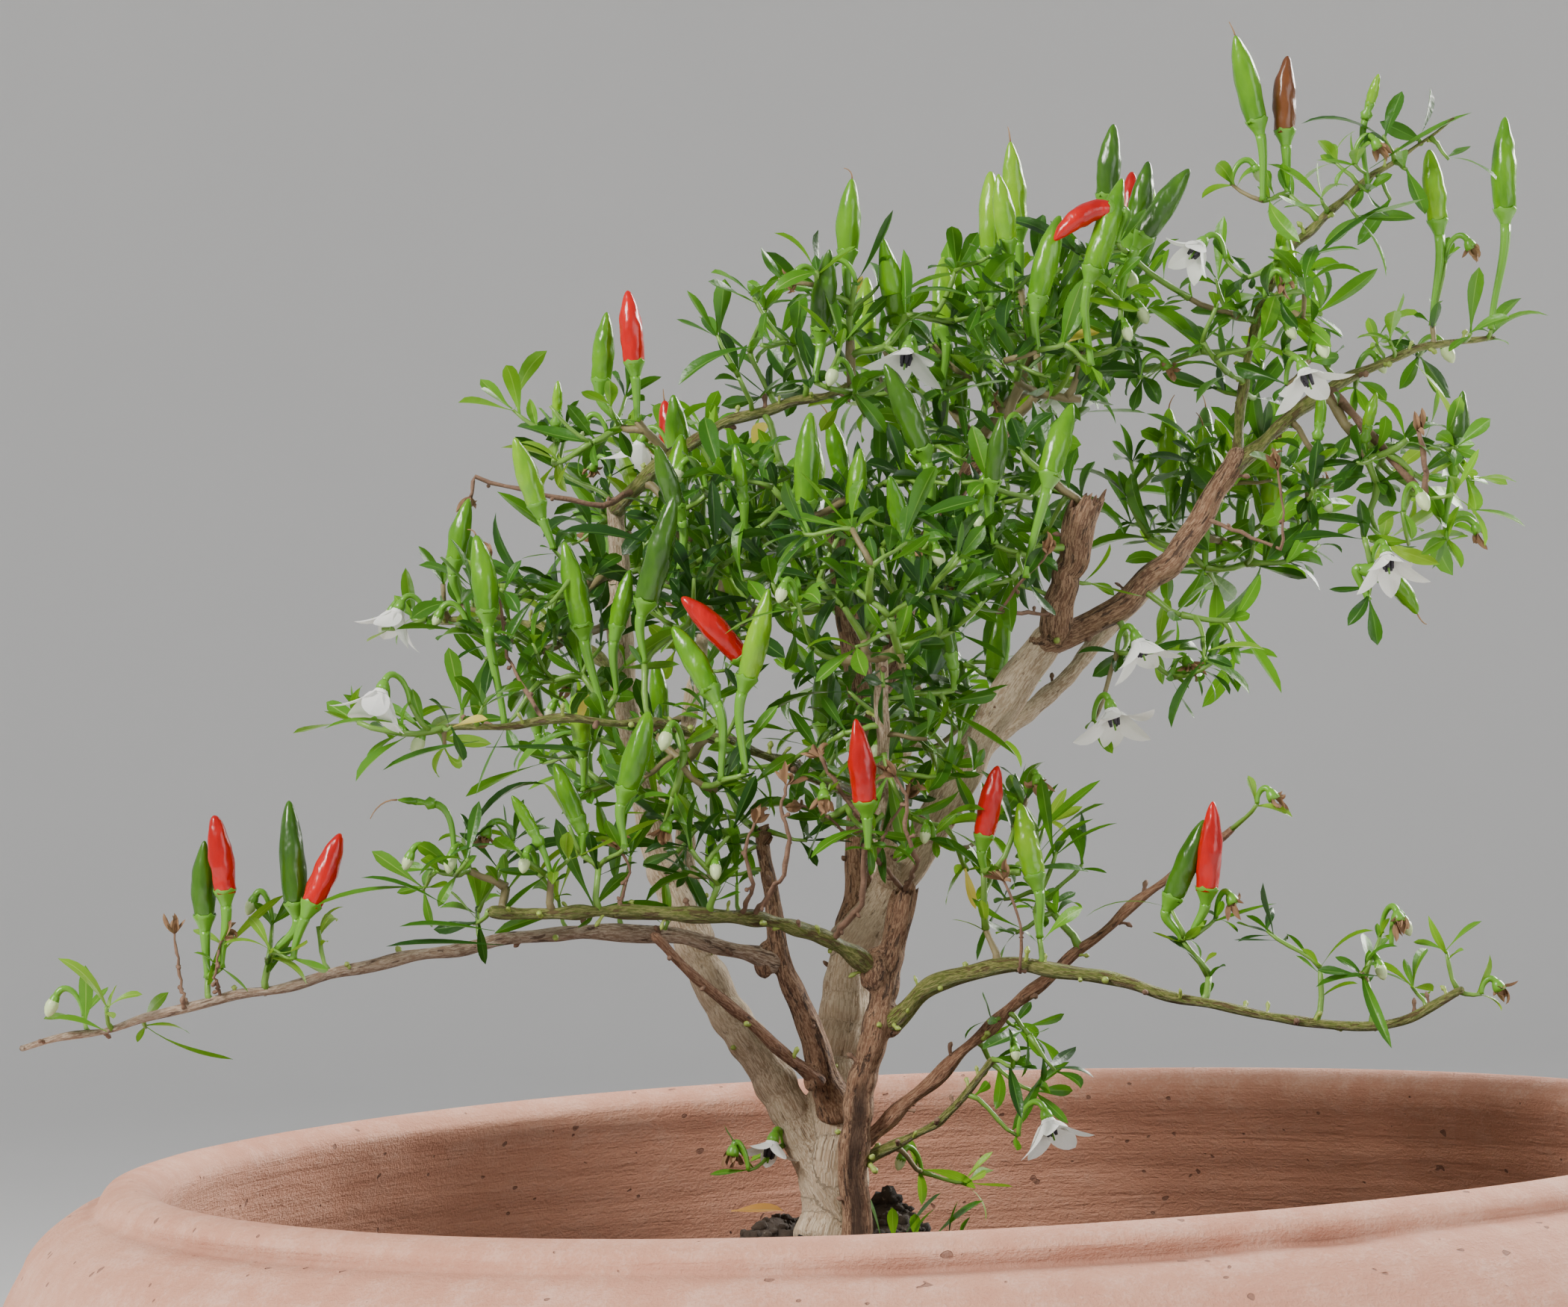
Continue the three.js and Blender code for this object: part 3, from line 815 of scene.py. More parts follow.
def bark_rows(node, sides, wrinkle):
    """A bough's rings with long low wrinkles that follow it, and flutes."""
    path, thick, along = paths[node]
    turn = np.arange(sides) / sides * 2 * math.pi
    seed = sum(map(ord, node)) + 5
    spots = np.stack(np.broadcast_arrays(np.cos(turn)[None] * thick[:, None],
                                         np.sin(turn)[None] * thick[:, None],
                                         along[:, None] * GRAIN_STRETCH), -1)
    flutes = waves(seed, 5, 1 / (2.2 * MM))(spots) * 0.05
    ridges = waves(seed + 1, 16, 1 / (0.42 * MM))(spots) * wrinkle * MM
    return bar_rows(path, thick[:, None] * (1 + flutes) + ridges, sides), spots

# %% [markdown]
# ## Bark
# The old wood is pale grey-beige with fine wrinkles that run along each limb, and the younger
# wood is brown with darker streaks and paler ridges. The long low arm has weathered to a dull
# beige, two bare sticks are smoother and redder, and the other arms are still green with pale
# pores. The wrinkles must follow each limb, so every point carries its place along and round
# its own bough in a mesh attribute, and the patterns are stretched in that place instead of in
# space. One function makes all five finishes from their colours.

# %% Bark finishes
def bark_finish(name, colours, streak_colour, streaks, rough):
    finish = Finish(name, Roughness=rough)
    spot = finish.place((1, 1, 1), "bark_place")
    patch = finish.noise(spot, 0.16, 4.0, 0.6)
    fibre = finish.noise(spot, 2.3, 5.0, 0.68)
    broad = finish.blend(finish.mask(patch, 0.34, 0.64), colours[0], colours[1])
    ridged = finish.blend(finish.mask(fibre, 0.40, 0.62), broad, colours[2])
    dark = finish.mask(finish.noise(spot, 0.8, 4.0, 0.65, 0.4), 1 - streaks, 1.06 - streaks)
    lined = finish.blend(dark * 0.8, ridged, streak_colour)
    # Painted shade: the hollow of the front stem is darkened where its shadow falls.
    hollow = finish.add("ShaderNodeAttribute", {"attribute_name": "hollow"}, 2)
    finish.set(Base_Color=finish.blend(hollow * 0.90, lined, (0.050, 0.022, 0.010)))
    finish.bump(fibre - dark * 0.3, 0.0013, 1.0)
    return finish


grey_bark = bark_finish("grey_bark", ((0.40, 0.265, 0.160), (0.60, 0.445, 0.285), (0.80, 0.655, 0.475)),
                        (0.20, 0.120, 0.07), 0.38, 0.82)
brown_bark = bark_finish("brown_bark", ((0.125, 0.055, 0.028), (0.27, 0.135, 0.072), (0.47, 0.29, 0.17)),
                         (0.035, 0.016, 0.010), 0.44, 0.78)
stick_bark = bark_finish("stick_bark", ((0.26, 0.155, 0.095), (0.42, 0.285, 0.190), (0.64, 0.50, 0.375)),
                         (0.10, 0.05, 0.03), 0.42, 0.80)
red_bark = bark_finish("red_brown_bark", ((0.17, 0.070, 0.035), (0.27, 0.125, 0.066), (0.42, 0.24, 0.14)),
                       (0.05, 0.022, 0.012), 0.40, 0.72)
green_bark = bark_finish("green_bark", ((0.105, 0.125, 0.018), (0.155, 0.205, 0.028), (0.32, 0.31, 0.10)),
                         (0.13, 0.070, 0.028), 0.46, 0.50)

# %% [markdown]
# Limbs of one tree have no seams. Bars that only overlap would show a hard line at every fork,
# so the stout ones are remeshed into one skin and evened out. The skin has lost track of its
# limbs, so each point looks up its place on the nearest one again.

# %% Wood that has grown together
def grown_together(heap, voxel):
    """One closed skin round every bar in a heap, as points and four-sided faces."""
    rough = bpy.data.objects.new("rough_wood", bare_mesh("rough_wood", *join(heap.parts)[:2]))
    bpy.context.scene.collection.objects.link(rough)
    skin = rough.modifiers.new("skin", "REMESH")
    skin.mode = "VOXEL"
    skin.voxel_size = voxel
    graph = bpy.context.evaluated_depsgraph_get()
    mesh = bpy.data.meshes.new_from_object(rough.evaluated_get(graph))
    points = np.empty(len(mesh.vertices) * 3, np.float32)
    mesh.vertices.foreach_get("co", points)
    faces = np.empty(len(mesh.loops), np.int32)
    mesh.loops.foreach_get("vertex_index", faces)
    bpy.data.objects.remove(rough)
    bpy.data.meshes.remove(mesh)
    return points.reshape(-1, 3).astype(float), faces.reshape(-1, 4)


BURL_TOP = GROUND + 30 * MM


def relaxed(points, faces, rounds, calm=0):
    """Evens a skin out without shrinking it: each inward step is followed by an outward one.
    The burl at the ground, where limbs have long since merged, can take further calm steps."""
    ends = np.vstack([faces[:, [0, 1]], faces[:, [1, 2]], faces[:, [2, 3]], faces[:, [3, 0]]])
    ends = np.vstack([ends, ends[:, ::-1]])
    degree = np.bincount(ends[:, 0], minlength=len(points))[:, None]
    low = np.clip((BURL_TOP - points[:, 2:]) / (12 * MM), 0, 1)
    for share in [0.5, -0.52] * rounds + [0.5 * low] * calm:
        mean = np.stack([np.bincount(ends[:, 0], points[ends[:, 1], k], len(points)) for k in range(3)], -1)
        points = points + (mean / degree - points) * share
    return points


def places_on(points, names):
    """For each point, its place across and along the nearest bough, in millimetres."""
    centres = np.vstack([paths[n][0] for n in names])
    thick = np.concatenate([paths[n][1] for n in names])
    along = np.concatenate([paths[n][2] for n in names])
    cross = [frames_along(paths[n][0])[1:] for n in names]
    first, second = (np.vstack([c[k] for c in cross]) for k in (0, 1))
    tree = KDTree(len(centres))
    for index, centre in enumerate(centres):
        tree.insert(centre, index)
    tree.balance()
    near = np.array([min(tree.find_n(p, 6), key=lambda hit: hit[2] - thick[hit[1]])[1] for p in points])
    away = points - centres[near]
    across = (away * first[near]).sum(1), (away * second[near]).sum(1)
    return np.stack([*across, along[near] * GRAIN_STRETCH], -1) / MM


def normals_of(points, faces):
    """A unit normal for each point of a skin of four-sided faces."""
    a, b, c, d = (points[faces[:, k]] for k in range(4))
    flat = np.cross(c - a, d - b)
    total = np.zeros_like(points)
    for k in range(4):
        for axis in range(3):
            total[:, axis] += np.bincount(faces[:, k], flat[:, axis], len(points))
    return unit(total)

# %% [markdown]
# The old front stem has died back low down: between pale ridges at its sides, its front is a
# dark hollow from the soil up. The hollow is both a groove in the skin and painted shade: the
# finish darkens it where its shadow falls.

# %% The hollow of the front stem
HOLLOW_TOP = GROUND + 46 * MM


def hollow_at(points):
    """How far each point is in the dead hollow of the front stem, from 0 to 1."""
    path, thick, _ = paths["front_stem"]
    near = np.abs(points[:, 2, None] - path[None, :, 2]).argmin(1)
    away = points - path[near]
    sideways = np.abs(away[:, 0] - 0.3 * MM) / thick[near]
    front = np.clip(-away[:, 1] / thick[near], 0, 1)
    close = np.linalg.norm(away[:, :2], axis=1) < thick[near] * 1.5
    fade = np.clip((HOLLOW_TOP - points[:, 2]) / (9 * MM), 0, 1)
    return close * fade * np.clip((0.62 - sideways) / 0.25, 0, 1) * np.clip((front - 0.3) / 0.4, 0, 1)

# %% [markdown]
# Three limbs were cut or broken off. Fibres of uneven length stand up at such an end and its
# middle sinks as the pith rots, so points near the end are pushed along the limb.

# %% Splintered ends
def splinters(points):
    """How far each point is pushed along its bough at a broken end: fibres of uneven length."""
    shift = np.zeros_like(points)
    for node in SAWN:
        path, thick, _ = paths[node]
        way = unit(path[-1] - path[-4])
        away = points - path[-1]
        reach = away @ way
        side = away - reach[:, None] * way
        close = (np.linalg.norm(side, axis=1) < thick[-1] * 1.5) & (np.abs(reach) < 6 * MM)
        fade = np.clip((reach + 4 * MM) / (3.5 * MM), 0, 1) * close
        sunk = np.exp(-(np.linalg.norm(side, axis=1) / (thick[-1] * 0.45)) ** 2) * 2.4 * MM
        ragged = waves(83, 8, 1 / (0.36 * MM))(side) * 1.7 * MM + side[:, 0] * 0.5 - sunk
        shift += (fade * ragged)[:, None] * way
    return shift

# %% [markdown]
# Now each kind of bark becomes one piece: stout limbs as one grown skin, thin ones as bars with
# finer relief. Knotty burls sit where arms have been cut back and have sprouted again.

# %% Build the boughs
def knot_rows(middle, size):
    """A round burl, as rings from its underside to its top."""
    rise = np.linspace(-0.98, 0.98, 11)
    line = middle + np.stack([rise * size * 0.3, 0.15 * size + rise * 0, rise * size * 1.6], -1)
    return bar_rows(line, size * np.sqrt(1 - rise ** 2), 16)


def clad(name, slot, finish, names, sides, wrinkle, voxel=0.0, calm=0, knots=()):
    """Boughs of one bark as one piece: the thick ones grown together, the thin ones as bars."""
    stout = [n for n in names if voxel and boughs[n][1][0] > STOUT]
    lot, places = [], []
    if stout:
        rough = Heap()
        for node in stout:
            rough.grid(bark_rows(node, 30, 0.0)[0], ring=True, caps=(True, True))
        for node, size in knots:
            rough.grid(knot_rows(boughs[node][0][0], size * MM), ring=True, caps=(True, True))
        points, faces = grown_together(rough, voxel)
        points = relaxed(points, faces, 3, calm)
        spots = places_on(points, stout)
        seams = waves(81, 18, 2.4)(spots) * wrinkle * MM - hollow_at(points) * 1.1 * MM
        points = points + normals_of(points, faces) * seams[:, None] + splinters(points)
        lot.append((points, faces, np.zeros(len(faces), int)))
        places.append(spots)
    bars = Heap()
    for node in names:
        if node not in stout:
            rows, spots = bark_rows(node, sides, wrinkle)
            bars.grid(rows, ring=True, caps=(True, True))
            places += [spots.reshape(-1, 3) / MM, spots[[0, -1], 0] / MM]
    piece = mesh_piece(name, *join(lot + bars.parts), slot, [finish])
    where = np.vstack(places).astype(np.float32)
    piece.data.attributes.new("bark_place", "FLOAT_VECTOR", "POINT").data.foreach_set("vector", where.ravel())
    # How far each point is in the hollow, for its groove and for its painted shade in the finish.
    mark = np.zeros(len(where), np.float32)
    if stout:
        mark[:len(lot[0][0])] = hollow_at(lot[0][0])
    piece.data.attributes.new("hollow", "FLOAT", "POINT").data.foreach_set("value", mark)
    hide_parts(*names)
    return piece


WEATHERED = ["low_left_arm"]
STICKS = ["stick_left", "stick_right"]
browns = [n for n in nodes_of["brown_bark"] if n not in WEATHERED + STICKS]
clad("grey_limbs", "grey_bark", grey_bark, nodes_of["grey_bark"], 24, 0.12, 0.62 * MM, calm=70)
KNOTS = (("low_left_arm", 3.1), ("green_left_arm", 3.9), ("low_right_arm", 2.7), ("stick_left", 2.4))
clad("brown_limbs", "brown_bark", brown_bark, browns, 24, 0.13, 0.56 * MM, knots=KNOTS)
clad("weathered_arm", "brown_bark", stick_bark, WEATHERED, 26, 0.10)
clad("bare_sticks", "brown_bark", red_bark, STICKS, 24, 0.09)
clad("green_arms", "green_stem", green_bark, nodes_of["green_stem"], 24, 0.07)

# %% [markdown]
# ## Where the crown grows
# The masses of foliage in the model say where leaves are and where the sky shows. Inside them,
# spots are strewn evenly at random, no two closer than a set distance. Each is a node of the
# plant: the place where leaves, flowers and fruit stand. Some masses are topped by upright
# fruit, and there the leaves fill only the lower share of the height.

# %% Strew the nodes of the plant
MASSES = nodes_of["foliage"]
SPACING = 11.0 * MM
LEAFY_SHARE = {"top_pods": 0.35, "right_tip_pods": 0.15, "upper_left": 0.52, "left_mid": 0.62,
               "crown_top_left": 0.76, "crown_top_centre": 0.64, "low_left_spray": 0.50,
               "right_low_spray": 0.48, "top_sprig_leaves": 0.75, "crown_mid_left": 0.88}
shells = {}
for mass in MASSES:
    mesh = frame["nodes"][mass].data
    shells[mass] = BVHTree.FromPolygons([v.co for v in mesh.vertices], [p.vertices for p in mesh.polygons])


def depth_in(mass, point):
    """How far a point is inside a mass, negative outside."""
    spot, normal, _, away = shells[mass].find_nearest(point)
    return away if (Vector(point) - spot).dot(normal) < 0 else -away


def strew(mass, taken, roll):
    """New spots inside a mass, each at least SPACING from those already taken."""
    low, high = (np.array(corner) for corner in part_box(mass))
    skin = float(np.clip((high - low).min() * 0.15, 1.5 * MM, 5 * MM))
    high[2] = low[2] + (high[2] - low[2]) * LEAFY_SHARE.get(mass, 1.0)
    tries = int(np.prod(high - low) / SPACING ** 3 * 14)
    found = []
    for spot in roll.uniform(low, high, (tries, 3)):
        near = np.array(taken + found)
        if len(near) and (((near - spot) ** 2).sum(1) < SPACING ** 2).any():
            continue
        deep = depth_in(mass, spot)
        if deep > skin and (deep < 14 * MM or roll.random() < 0.8):
            found.append(spot)
    return found


crown_roll = np.random.default_rng(31)
spots_of = {}
taken = []
for mass in MASSES:
    spots_of[mass] = strew(mass, taken, crown_roll)
    taken += spots_of[mass]
print("nodes of the plant:", len(taken))

# %% [markdown]
# ## The fruit and flowers that stand out
# Most of the plant follows a rule, but a viewer knows this one by its fruit: the pair at the
# very top, the red ones on the low arms. Each of these is placed in its mass, by how far
# across it, how deep from the front and how far up it is, as shares of the mass's box.

# %% Standout fruit
GREEN, DARK, RED, BROWN = "green", "dark", "red", "brown"


def fruit(mass, across, deep, up, tone, lean, size, stalk, hair=0.0, slant=0.0, nod=0.0):
    """One fruit: lean in degrees to the right, size and stalk in millimetres."""
    low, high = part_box(mass)
    share = Vector((across, deep, up))
    base = np.array([a + (b - a) * s for a, b, s in zip(low, high, share)])
    return {"base": base, "tone": tone, "lean": lean, "size": size * MM, "stalk": stalk * MM,
            "hair": hair * MM, "slant": slant * MM, "nod": nod}


standouts = [
    fruit("top_pods", 0.53, 0.35, 0.63, GREEN, -11, 24, 22, hair=4),
    fruit("top_pods", 0.79, 0.50, 0.58, BROWN, -1, 21, 17),
    fruit("top_sprig_leaves", 0.43, 0.50, 0.90, GREEN, 19, 9, 24),
    fruit("right_tip_pods", 0.27, 0.50, 0.56, GREEN, -5, 20, 29, slant=-3),
    fruit("right_tip_pods", 0.96, 0.50, 0.59, GREEN, 0, 26, 33, slant=-5),
    fruit("crown_top_centre", 0.71, 0.40, 0.84, DARK, 7, 20, 19, slant=-3),
    fruit("crown_top_centre", 0.70, 0.10, 0.76, RED, -82, 18, 9, nod=-0.1),
    fruit("crown_top_centre", 0.80, 0.55, 0.70, RED, 7, 19, 13),
    fruit("crown_top_centre", 0.80, 0.40, 0.69, DARK, 20, 21, 17, slant=-3),
    fruit("crown_top_centre", 0.83, 0.25, 0.67, DARK, 34, 22, 18, slant=-5),
    fruit("crown_top_centre", 0.62, 0.10, 0.54, GREEN, 22, 26, 26),
    fruit("crown_top_centre", 0.41, 0.12, 0.45, GREEN, 14, 23, 14),
    fruit("crown_top_centre", 0.26, 0.40, 0.66, GREEN, 4, 22, 15),
    fruit("crown_top_centre", 0.38, 0.60, 0.76, GREEN, -3, 24, 17, hair=5),
    fruit("crown_top_left", 0.66, 0.40, 0.86, GREEN, 4, 20, 17, hair=4),
    fruit("upper_left", 0.81, 0.30, 0.65, RED, -3, 20, 16),
    fruit("upper_left", 0.63, 0.40, 0.57, GREEN, 7, 19, 13, slant=5),
    fruit("upper_left", 0.39, 0.50, 0.42, GREEN, 6, 9, 8),
    fruit("left_mid", 0.54, 0.30, 0.88, GREEN, -16, 19, 12, slant=3),
    fruit("left_mid", 0.30, 0.20, 0.47, GREEN, -1, 21, 31, hair=3, slant=3),
    fruit("left_mid", 0.72, 0.22, 0.40, GREEN, -7, 23, 25, slant=4),
    fruit("left_mid", 0.87, 0.25, 0.39, GREEN, 14, 16, 18),
    fruit("crown_mid_left", 0.15, 0.08, 0.26, DARK, 19, 29, 16),
    fruit("crown_mid_left", 0.53, 0.05, 0.02, RED, -37, 22, 8),
    fruit("lower_mid_left", 0.64, 0.16, 0.93, GREEN, -24, 20, 24),
    fruit("lower_mid_left", 0.81, 0.10, 0.97, GREEN, 20, 24, 25),
    fruit("crown_mid_left", 0.56, 0.30, 0.72, GREEN, -5, 12, 12),
    fruit("crown_mid_left", 0.82, 0.20, 0.64, GREEN, 0, 24, 14),
    fruit("crown_centre", 0.14, 0.20, 0.55, GREEN, 8, 17, 24, slant=-5),
    fruit("crown_centre", 0.39, 0.22, 0.80, DARK, -17, 25, 24),
    fruit("crown_centre", 0.81, 0.02, 0.65, GREEN, 16, 21, 27, slant=-6),
    fruit("crown_centre", 0.45, 0.10, -0.08, DARK, -9, 14, 9),
    fruit("right_mid", 0.40, 0.30, 0.02, GREEN, 104, 17, 8, hair=5),
    fruit("right_mid", 0.43, 0.50, 0.80, GREEN, 13, 10, 8),
    fruit("crown_top_right", 0.80, 0.30, -0.10, GREEN, 10, 10, 7),
    fruit("lower_centre", 0.43, 0.06, 0.33, RED, -3, 22, 12),
    fruit("lower_right", 0.31, 0.25, 0.59, RED, 12, 19, 9),
    fruit("lower_right", 0.56, 0.20, 0.39, GREEN, -11, 20, 16),
    fruit("right_low_spray", 0.14, 0.40, 0.49, DARK, 27, 22, 11, slant=3),
    fruit("right_low_spray", 0.38, 0.30, 0.52, RED, 8, 23, 12, slant=-4),
    fruit("low_left_spray", 0.17, 0.50, 0.52, DARK, 0, 20, 16),
    fruit("low_left_spray", 0.30, 0.35, 0.64, RED, -2, 20, 20, slant=-2),
    fruit("low_left_spray", 0.67, 0.50, 0.56, DARK, -3, 27, 15, slant=-8),
    fruit("low_left_spray", 0.76, 0.30, 0.56, RED, 27, 20, 14, slant=-4),
    fruit("lower_left", 0.17, 0.30, 0.97, GREEN, -80, 6, 20, hair=9, slant=5),
    fruit("lower_left", 0.87, 0.15, 0.98, GREEN, 21, 21, 15),
    fruit("lower_left", 0.55, 0.30, 0.74, GREEN, -25, 11, 12, slant=3),
    fruit("lower_left", 0.70, 0.40, 0.80, GREEN, -20, 16, 9),
]
print("standout fruit:", len(standouts))

# %% [markdown]
# Flowers that stand out are placed by mass in the same way as the fruit. Each hangs from a
# hooked stalk, so besides its spot it needs the way that it leans, and how far.

# %% Standout flowers
OPEN, BUD, DRIED = "open", "bud", "dried"


def bloom_at(mass, across, deep, up, kind, faces, stalk=9.0, tilt=0.5, size=1.0):
    """One flower. Faces is the way that it leans, in degrees to the right of the front, and
    tilt how far: 0 hangs straight down, and 2 looks nearly level."""
    low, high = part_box(mass)
    spot = np.array([a + (b - a) * s for a, b, s in zip(low, high, (across, deep, up))])
    return {"spot": spot, "kind": kind, "faces": faces, "stalk": stalk * MM, "tilt": tilt, "size": size}


blooms = [
    bloom_at("left_back", 0.29, 0.30, 0.62, OPEN, -70),
    bloom_at("left_flower_spray", 0.35, 0.20, 0.85, OPEN, -50, 10),
    bloom_at("crown_top_left", 0.87, 0.20, 0.41, OPEN, -20),
    bloom_at("crown_top_right", 0.69, 0.10, 0.23, OPEN, 30),
    bloom_at("crown_top_right", 0.26, 0.30, 0.96, OPEN, -55, tilt=1.1, size=0.85),
    bloom_at("right_mid", 0.45, 0.20, 0.14, OPEN, 25),
    bloom_at("right_lower_leaves", 0.19, 0.20, 0.64, OPEN, 40),
    bloom_at("right_lower_leaves", 0.02, 0.05, 0.05, OPEN, 35),
    bloom_at("under_right", 0.74, 0.30, 0.12, OPEN, 50, 12),
    bloom_at("base_left", 0.84, 0.80, 0.92, OPEN, -30, 6, size=0.72),
    bloom_at("crown_centre", 0.56, 0.10, 0.52, BUD, 0),
    bloom_at("crown_top_right", 0.80, 0.15, 0.36, BUD, 20),
    bloom_at("lower_left", 0.52, 0.25, 0.60, BUD, -20),
    bloom_at("lower_mid_left", 0.62, 0.20, 0.25, BUD, 0),
    bloom_at("lower_left", 0.27, 0.30, 0.64, BUD, -30),
    bloom_at("lower_left", 0.13, 0.30, 0.65, BUD, -60),
    bloom_at("right_mid", 0.60, 0.20, 0.44, BUD, 30),
    bloom_at("right_low_tip", 0.37, 0.40, 0.57, BUD, 20),
    bloom_at("right_tip_pods", 0.56, 0.40, 0.48, DRIED, 60),
    bloom_at("crown_top_left", 0.46, 0.30, 0.77, DRIED, -70),
    bloom_at("lower_centre", 0.27, 0.10, 0.39, DRIED, 0),
    bloom_at("right_low_tip", 0.48, 0.40, 0.95, DRIED, 30),
    bloom_at("right_low_tip", 0.96, 0.40, 0.36, DRIED, 80, 5),
    bloom_at("right_low_spray", 0.86, 0.40, 0.95, DRIED, 60, 5),
]

# %% [markdown]
# ## Growing the twigs
# Twigs reach the nodes by a simple rule, repeated until every node is reached: take the node
# that is nearest to wood already grown, counting the way back to the bough a little too, and
# grow a curved shoot to it. Short links, forks and drawn-out arms all come from that one rule.
# A twig's thickness then follows from how many nodes it feeds, as water pipes do.

# %% Feet of fruit and flowers join the nodes
def foot_of(one):
    """Where a standout fruit's stalk leaves the twig."""
    lean = math.radians(one["lean"])
    drop = max(one["stalk"], 4 * MM)
    side = one["slant"] - math.sin(lean) * drop * 0.15
    return one["base"] + np.array([side, 0.0008, -drop * 0.94])


for one in standouts:
    one["foot"] = foot_of(one)
for one in blooms:
    turn = math.radians(one["faces"])
    away = np.array([math.sin(turn), -math.cos(turn), 0.0])
    one["away"] = away
    one["foot"] = one["spot"] - away * one["stalk"] * 0.75 - np.array([0, 0, one["stalk"] * 0.55])

KEEP_OFF = 4.5 * MM
held = [one["foot"] for one in standouts + blooms]
free = [spot for mass in MASSES for spot in spots_of[mass]]
clear_of_held = [s for s in free if min(np.linalg.norm(s - h) for h in held) > KEEP_OFF]
targets = np.array(held + clear_of_held)
print("shoots to grow:", len(targets))

# %% [markdown]
# Each node of the plant is joined to the nearest wood by a shoot that leaves along its parent
# and ends rising, and then counts as wood itself. Taking the nearest node first gives short
# twigs that branch, without any crossing the whole crown.

# %% Grow
STEP = 3.5 * MM
WAY_BACK = 0.22


def wood_to_start_from():
    """Points, directions and ages along every bough, past the first stretch of each."""
    spots, ways = [], []
    for node, (path, _, along) in paths.items():
        start = 0.55 if node == "trunk" else 0.12
        keep = np.arange(len(path))[along > along[-1] * start][::3]
        spots.append(path[keep])
        ways.append(unit(np.gradient(path, axis=0))[keep])
    return np.vstack(spots), np.vstack(ways)


def shoot_curve(start, way, end):
    """A shoot that leaves along its parent, swings over and ends rising."""
    reach = np.linalg.norm(end - start)
    chord = (end - start) / reach
    leave = unit(way * 0.55 + chord)
    arrive = unit(chord + np.array([0, 0, 0.35]))
    steps = max(3, int(round(reach / STEP)))
    t = np.linspace(0, 1, steps + 1)[:, None]
    h00, h10 = 2 * t ** 3 - 3 * t ** 2 + 1, t ** 3 - 2 * t ** 2 + t
    h01, h11 = -2 * t ** 3 + 3 * t ** 2, t ** 3 - t ** 2
    return h00 * start + h10 * leave * reach + h01 * end + h11 * arrive * reach


spots, ways = wood_to_start_from()
count = len(spots)
room = count + len(targets) * 24
wood = np.zeros((room, 3))
wood_way = np.zeros((room, 3))
wood_back = np.zeros(room)
wood_shoot = np.full(room, -1)
wood[:count], wood_way[:count] = spots, ways

away = np.linalg.norm(targets[:, None] - wood[None, :count], axis=2)
best = away.argmin(1)
cost = away.min(1)
shoots = []
waiting = np.ones(len(targets), bool)
for _ in range(len(targets)):
    pick = int(np.where(waiting, cost, np.inf).argmin())
    root = int(best[pick])
    line = shoot_curve(wood[root], wood_way[root], targets[pick])
    lengths = np.concatenate([[0], np.cumsum(np.linalg.norm(np.diff(line, axis=0), axis=1))])
    shoots.append({"line": line, "parent": int(wood_shoot[root]), "target": pick, "load": 1})
    waiting[pick] = False
    fresh = slice(count, count + len(line) - 1)
    wood[fresh] = line[1:]
    wood_way[fresh] = unit(np.gradient(line, axis=0))[1:]
    wood_back[fresh] = wood_back[root] + lengths[1:]
    wood_shoot[fresh] = len(shoots) - 1
    reach = np.linalg.norm(targets[:, None] - wood[None, fresh], axis=2) + WAY_BACK * wood_back[fresh]
    better = reach.min(1) < cost
    best[better] = count + reach.argmin(1)[better]
    cost = np.minimum(cost, reach.min(1))
    count += len(line) - 1

for shoot in reversed(shoots):
    if shoot["parent"] >= 0:
        shoots[shoot["parent"]]["load"] += shoot["load"]
print("shoots:", len(shoots), "busiest feeds", max(s["load"] for s in shoots))

# %% [markdown]
# A shoot is thin at its tip and thicker the more it carries. The radii are worked out from the
# tips back, as in a real plant, and each shoot is then a bar in green or, where old, in olive.

# %% Twig meshes
THIN = 0.46 * MM
SHARE = 0.19 * MM
TWIG_LIMIT = 1.7 * MM
OLIVE_FROM = 1.0 * MM
twig_green, twig_brown = Heap(), Heap()
twig_roll = np.random.default_rng(41)
radius_at = {}
for number, shoot in enumerate(shoots):
    thick = THIN + SHARE * math.sqrt(shoot["load"])
    thin = THIN + (SHARE * math.sqrt(shoot["load"] - 1) if shoot["load"] > 1 else 0)
    if shoot["parent"] >= 0:
        thick = min(thick, radius_at[shoot["parent"]] * 1.02)
    thick = min(thick, TWIG_LIMIT)
    thin = min(thin, thick)
    radius_at[number] = thick
    radii = np.linspace(thick, thin * 0.9 + thick * 0.1, len(shoot["line"]))
    radii[0] *= 1.25
    radii = radii * twig_roll.uniform(0.90, 1.18, len(radii))
    heap = twig_brown if thick > OLIVE_FROM or twig_roll.random() < 0.10 else twig_green
    heap.grid(bar_rows(shoot["line"], radii, 7), ring=True, caps=(True, True))

twig_green_finish = Finish("green_twig", Base_Color=(0.15, 0.30, 0.040), Roughness=0.42)
twig_green_finish.bump(twig_green_finish.noise(twig_green_finish.place(), 900.0, 2.0), 0.0003, 0.4)
twig_brown_finish = Finish("olive_twig", Roughness=0.6)
olive = twig_brown_finish.noise(twig_brown_finish.place(), 140.0, 4.0)
twig_brown_finish.set(Base_Color=twig_brown_finish.blend(olive, (0.12, 0.095, 0.035), (0.28, 0.23, 0.11)))
twig_brown_finish.bump(twig_brown_finish.noise(twig_brown_finish.place(), 1100.0, 2.0), 0.0004, 0.5)
twig_green.make("green_twigs", "green_stem", [twig_green_finish])
twig_brown.make("olive_twigs", "green_stem", [twig_brown_finish])

# %% [markdown]
# Two more things mark an old plant that has been cut back often. Short knobbly spurs stand all
# along its arms where leaves and fruit have fallen, and thin dead twigs still stick out where
# shoots died, dry and angular, with a crumb of the old fruit stalk at the tip.

# %% Spurs
spur_green, spur_brown = Heap(), Heap()
spur_roll = np.random.default_rng(43)


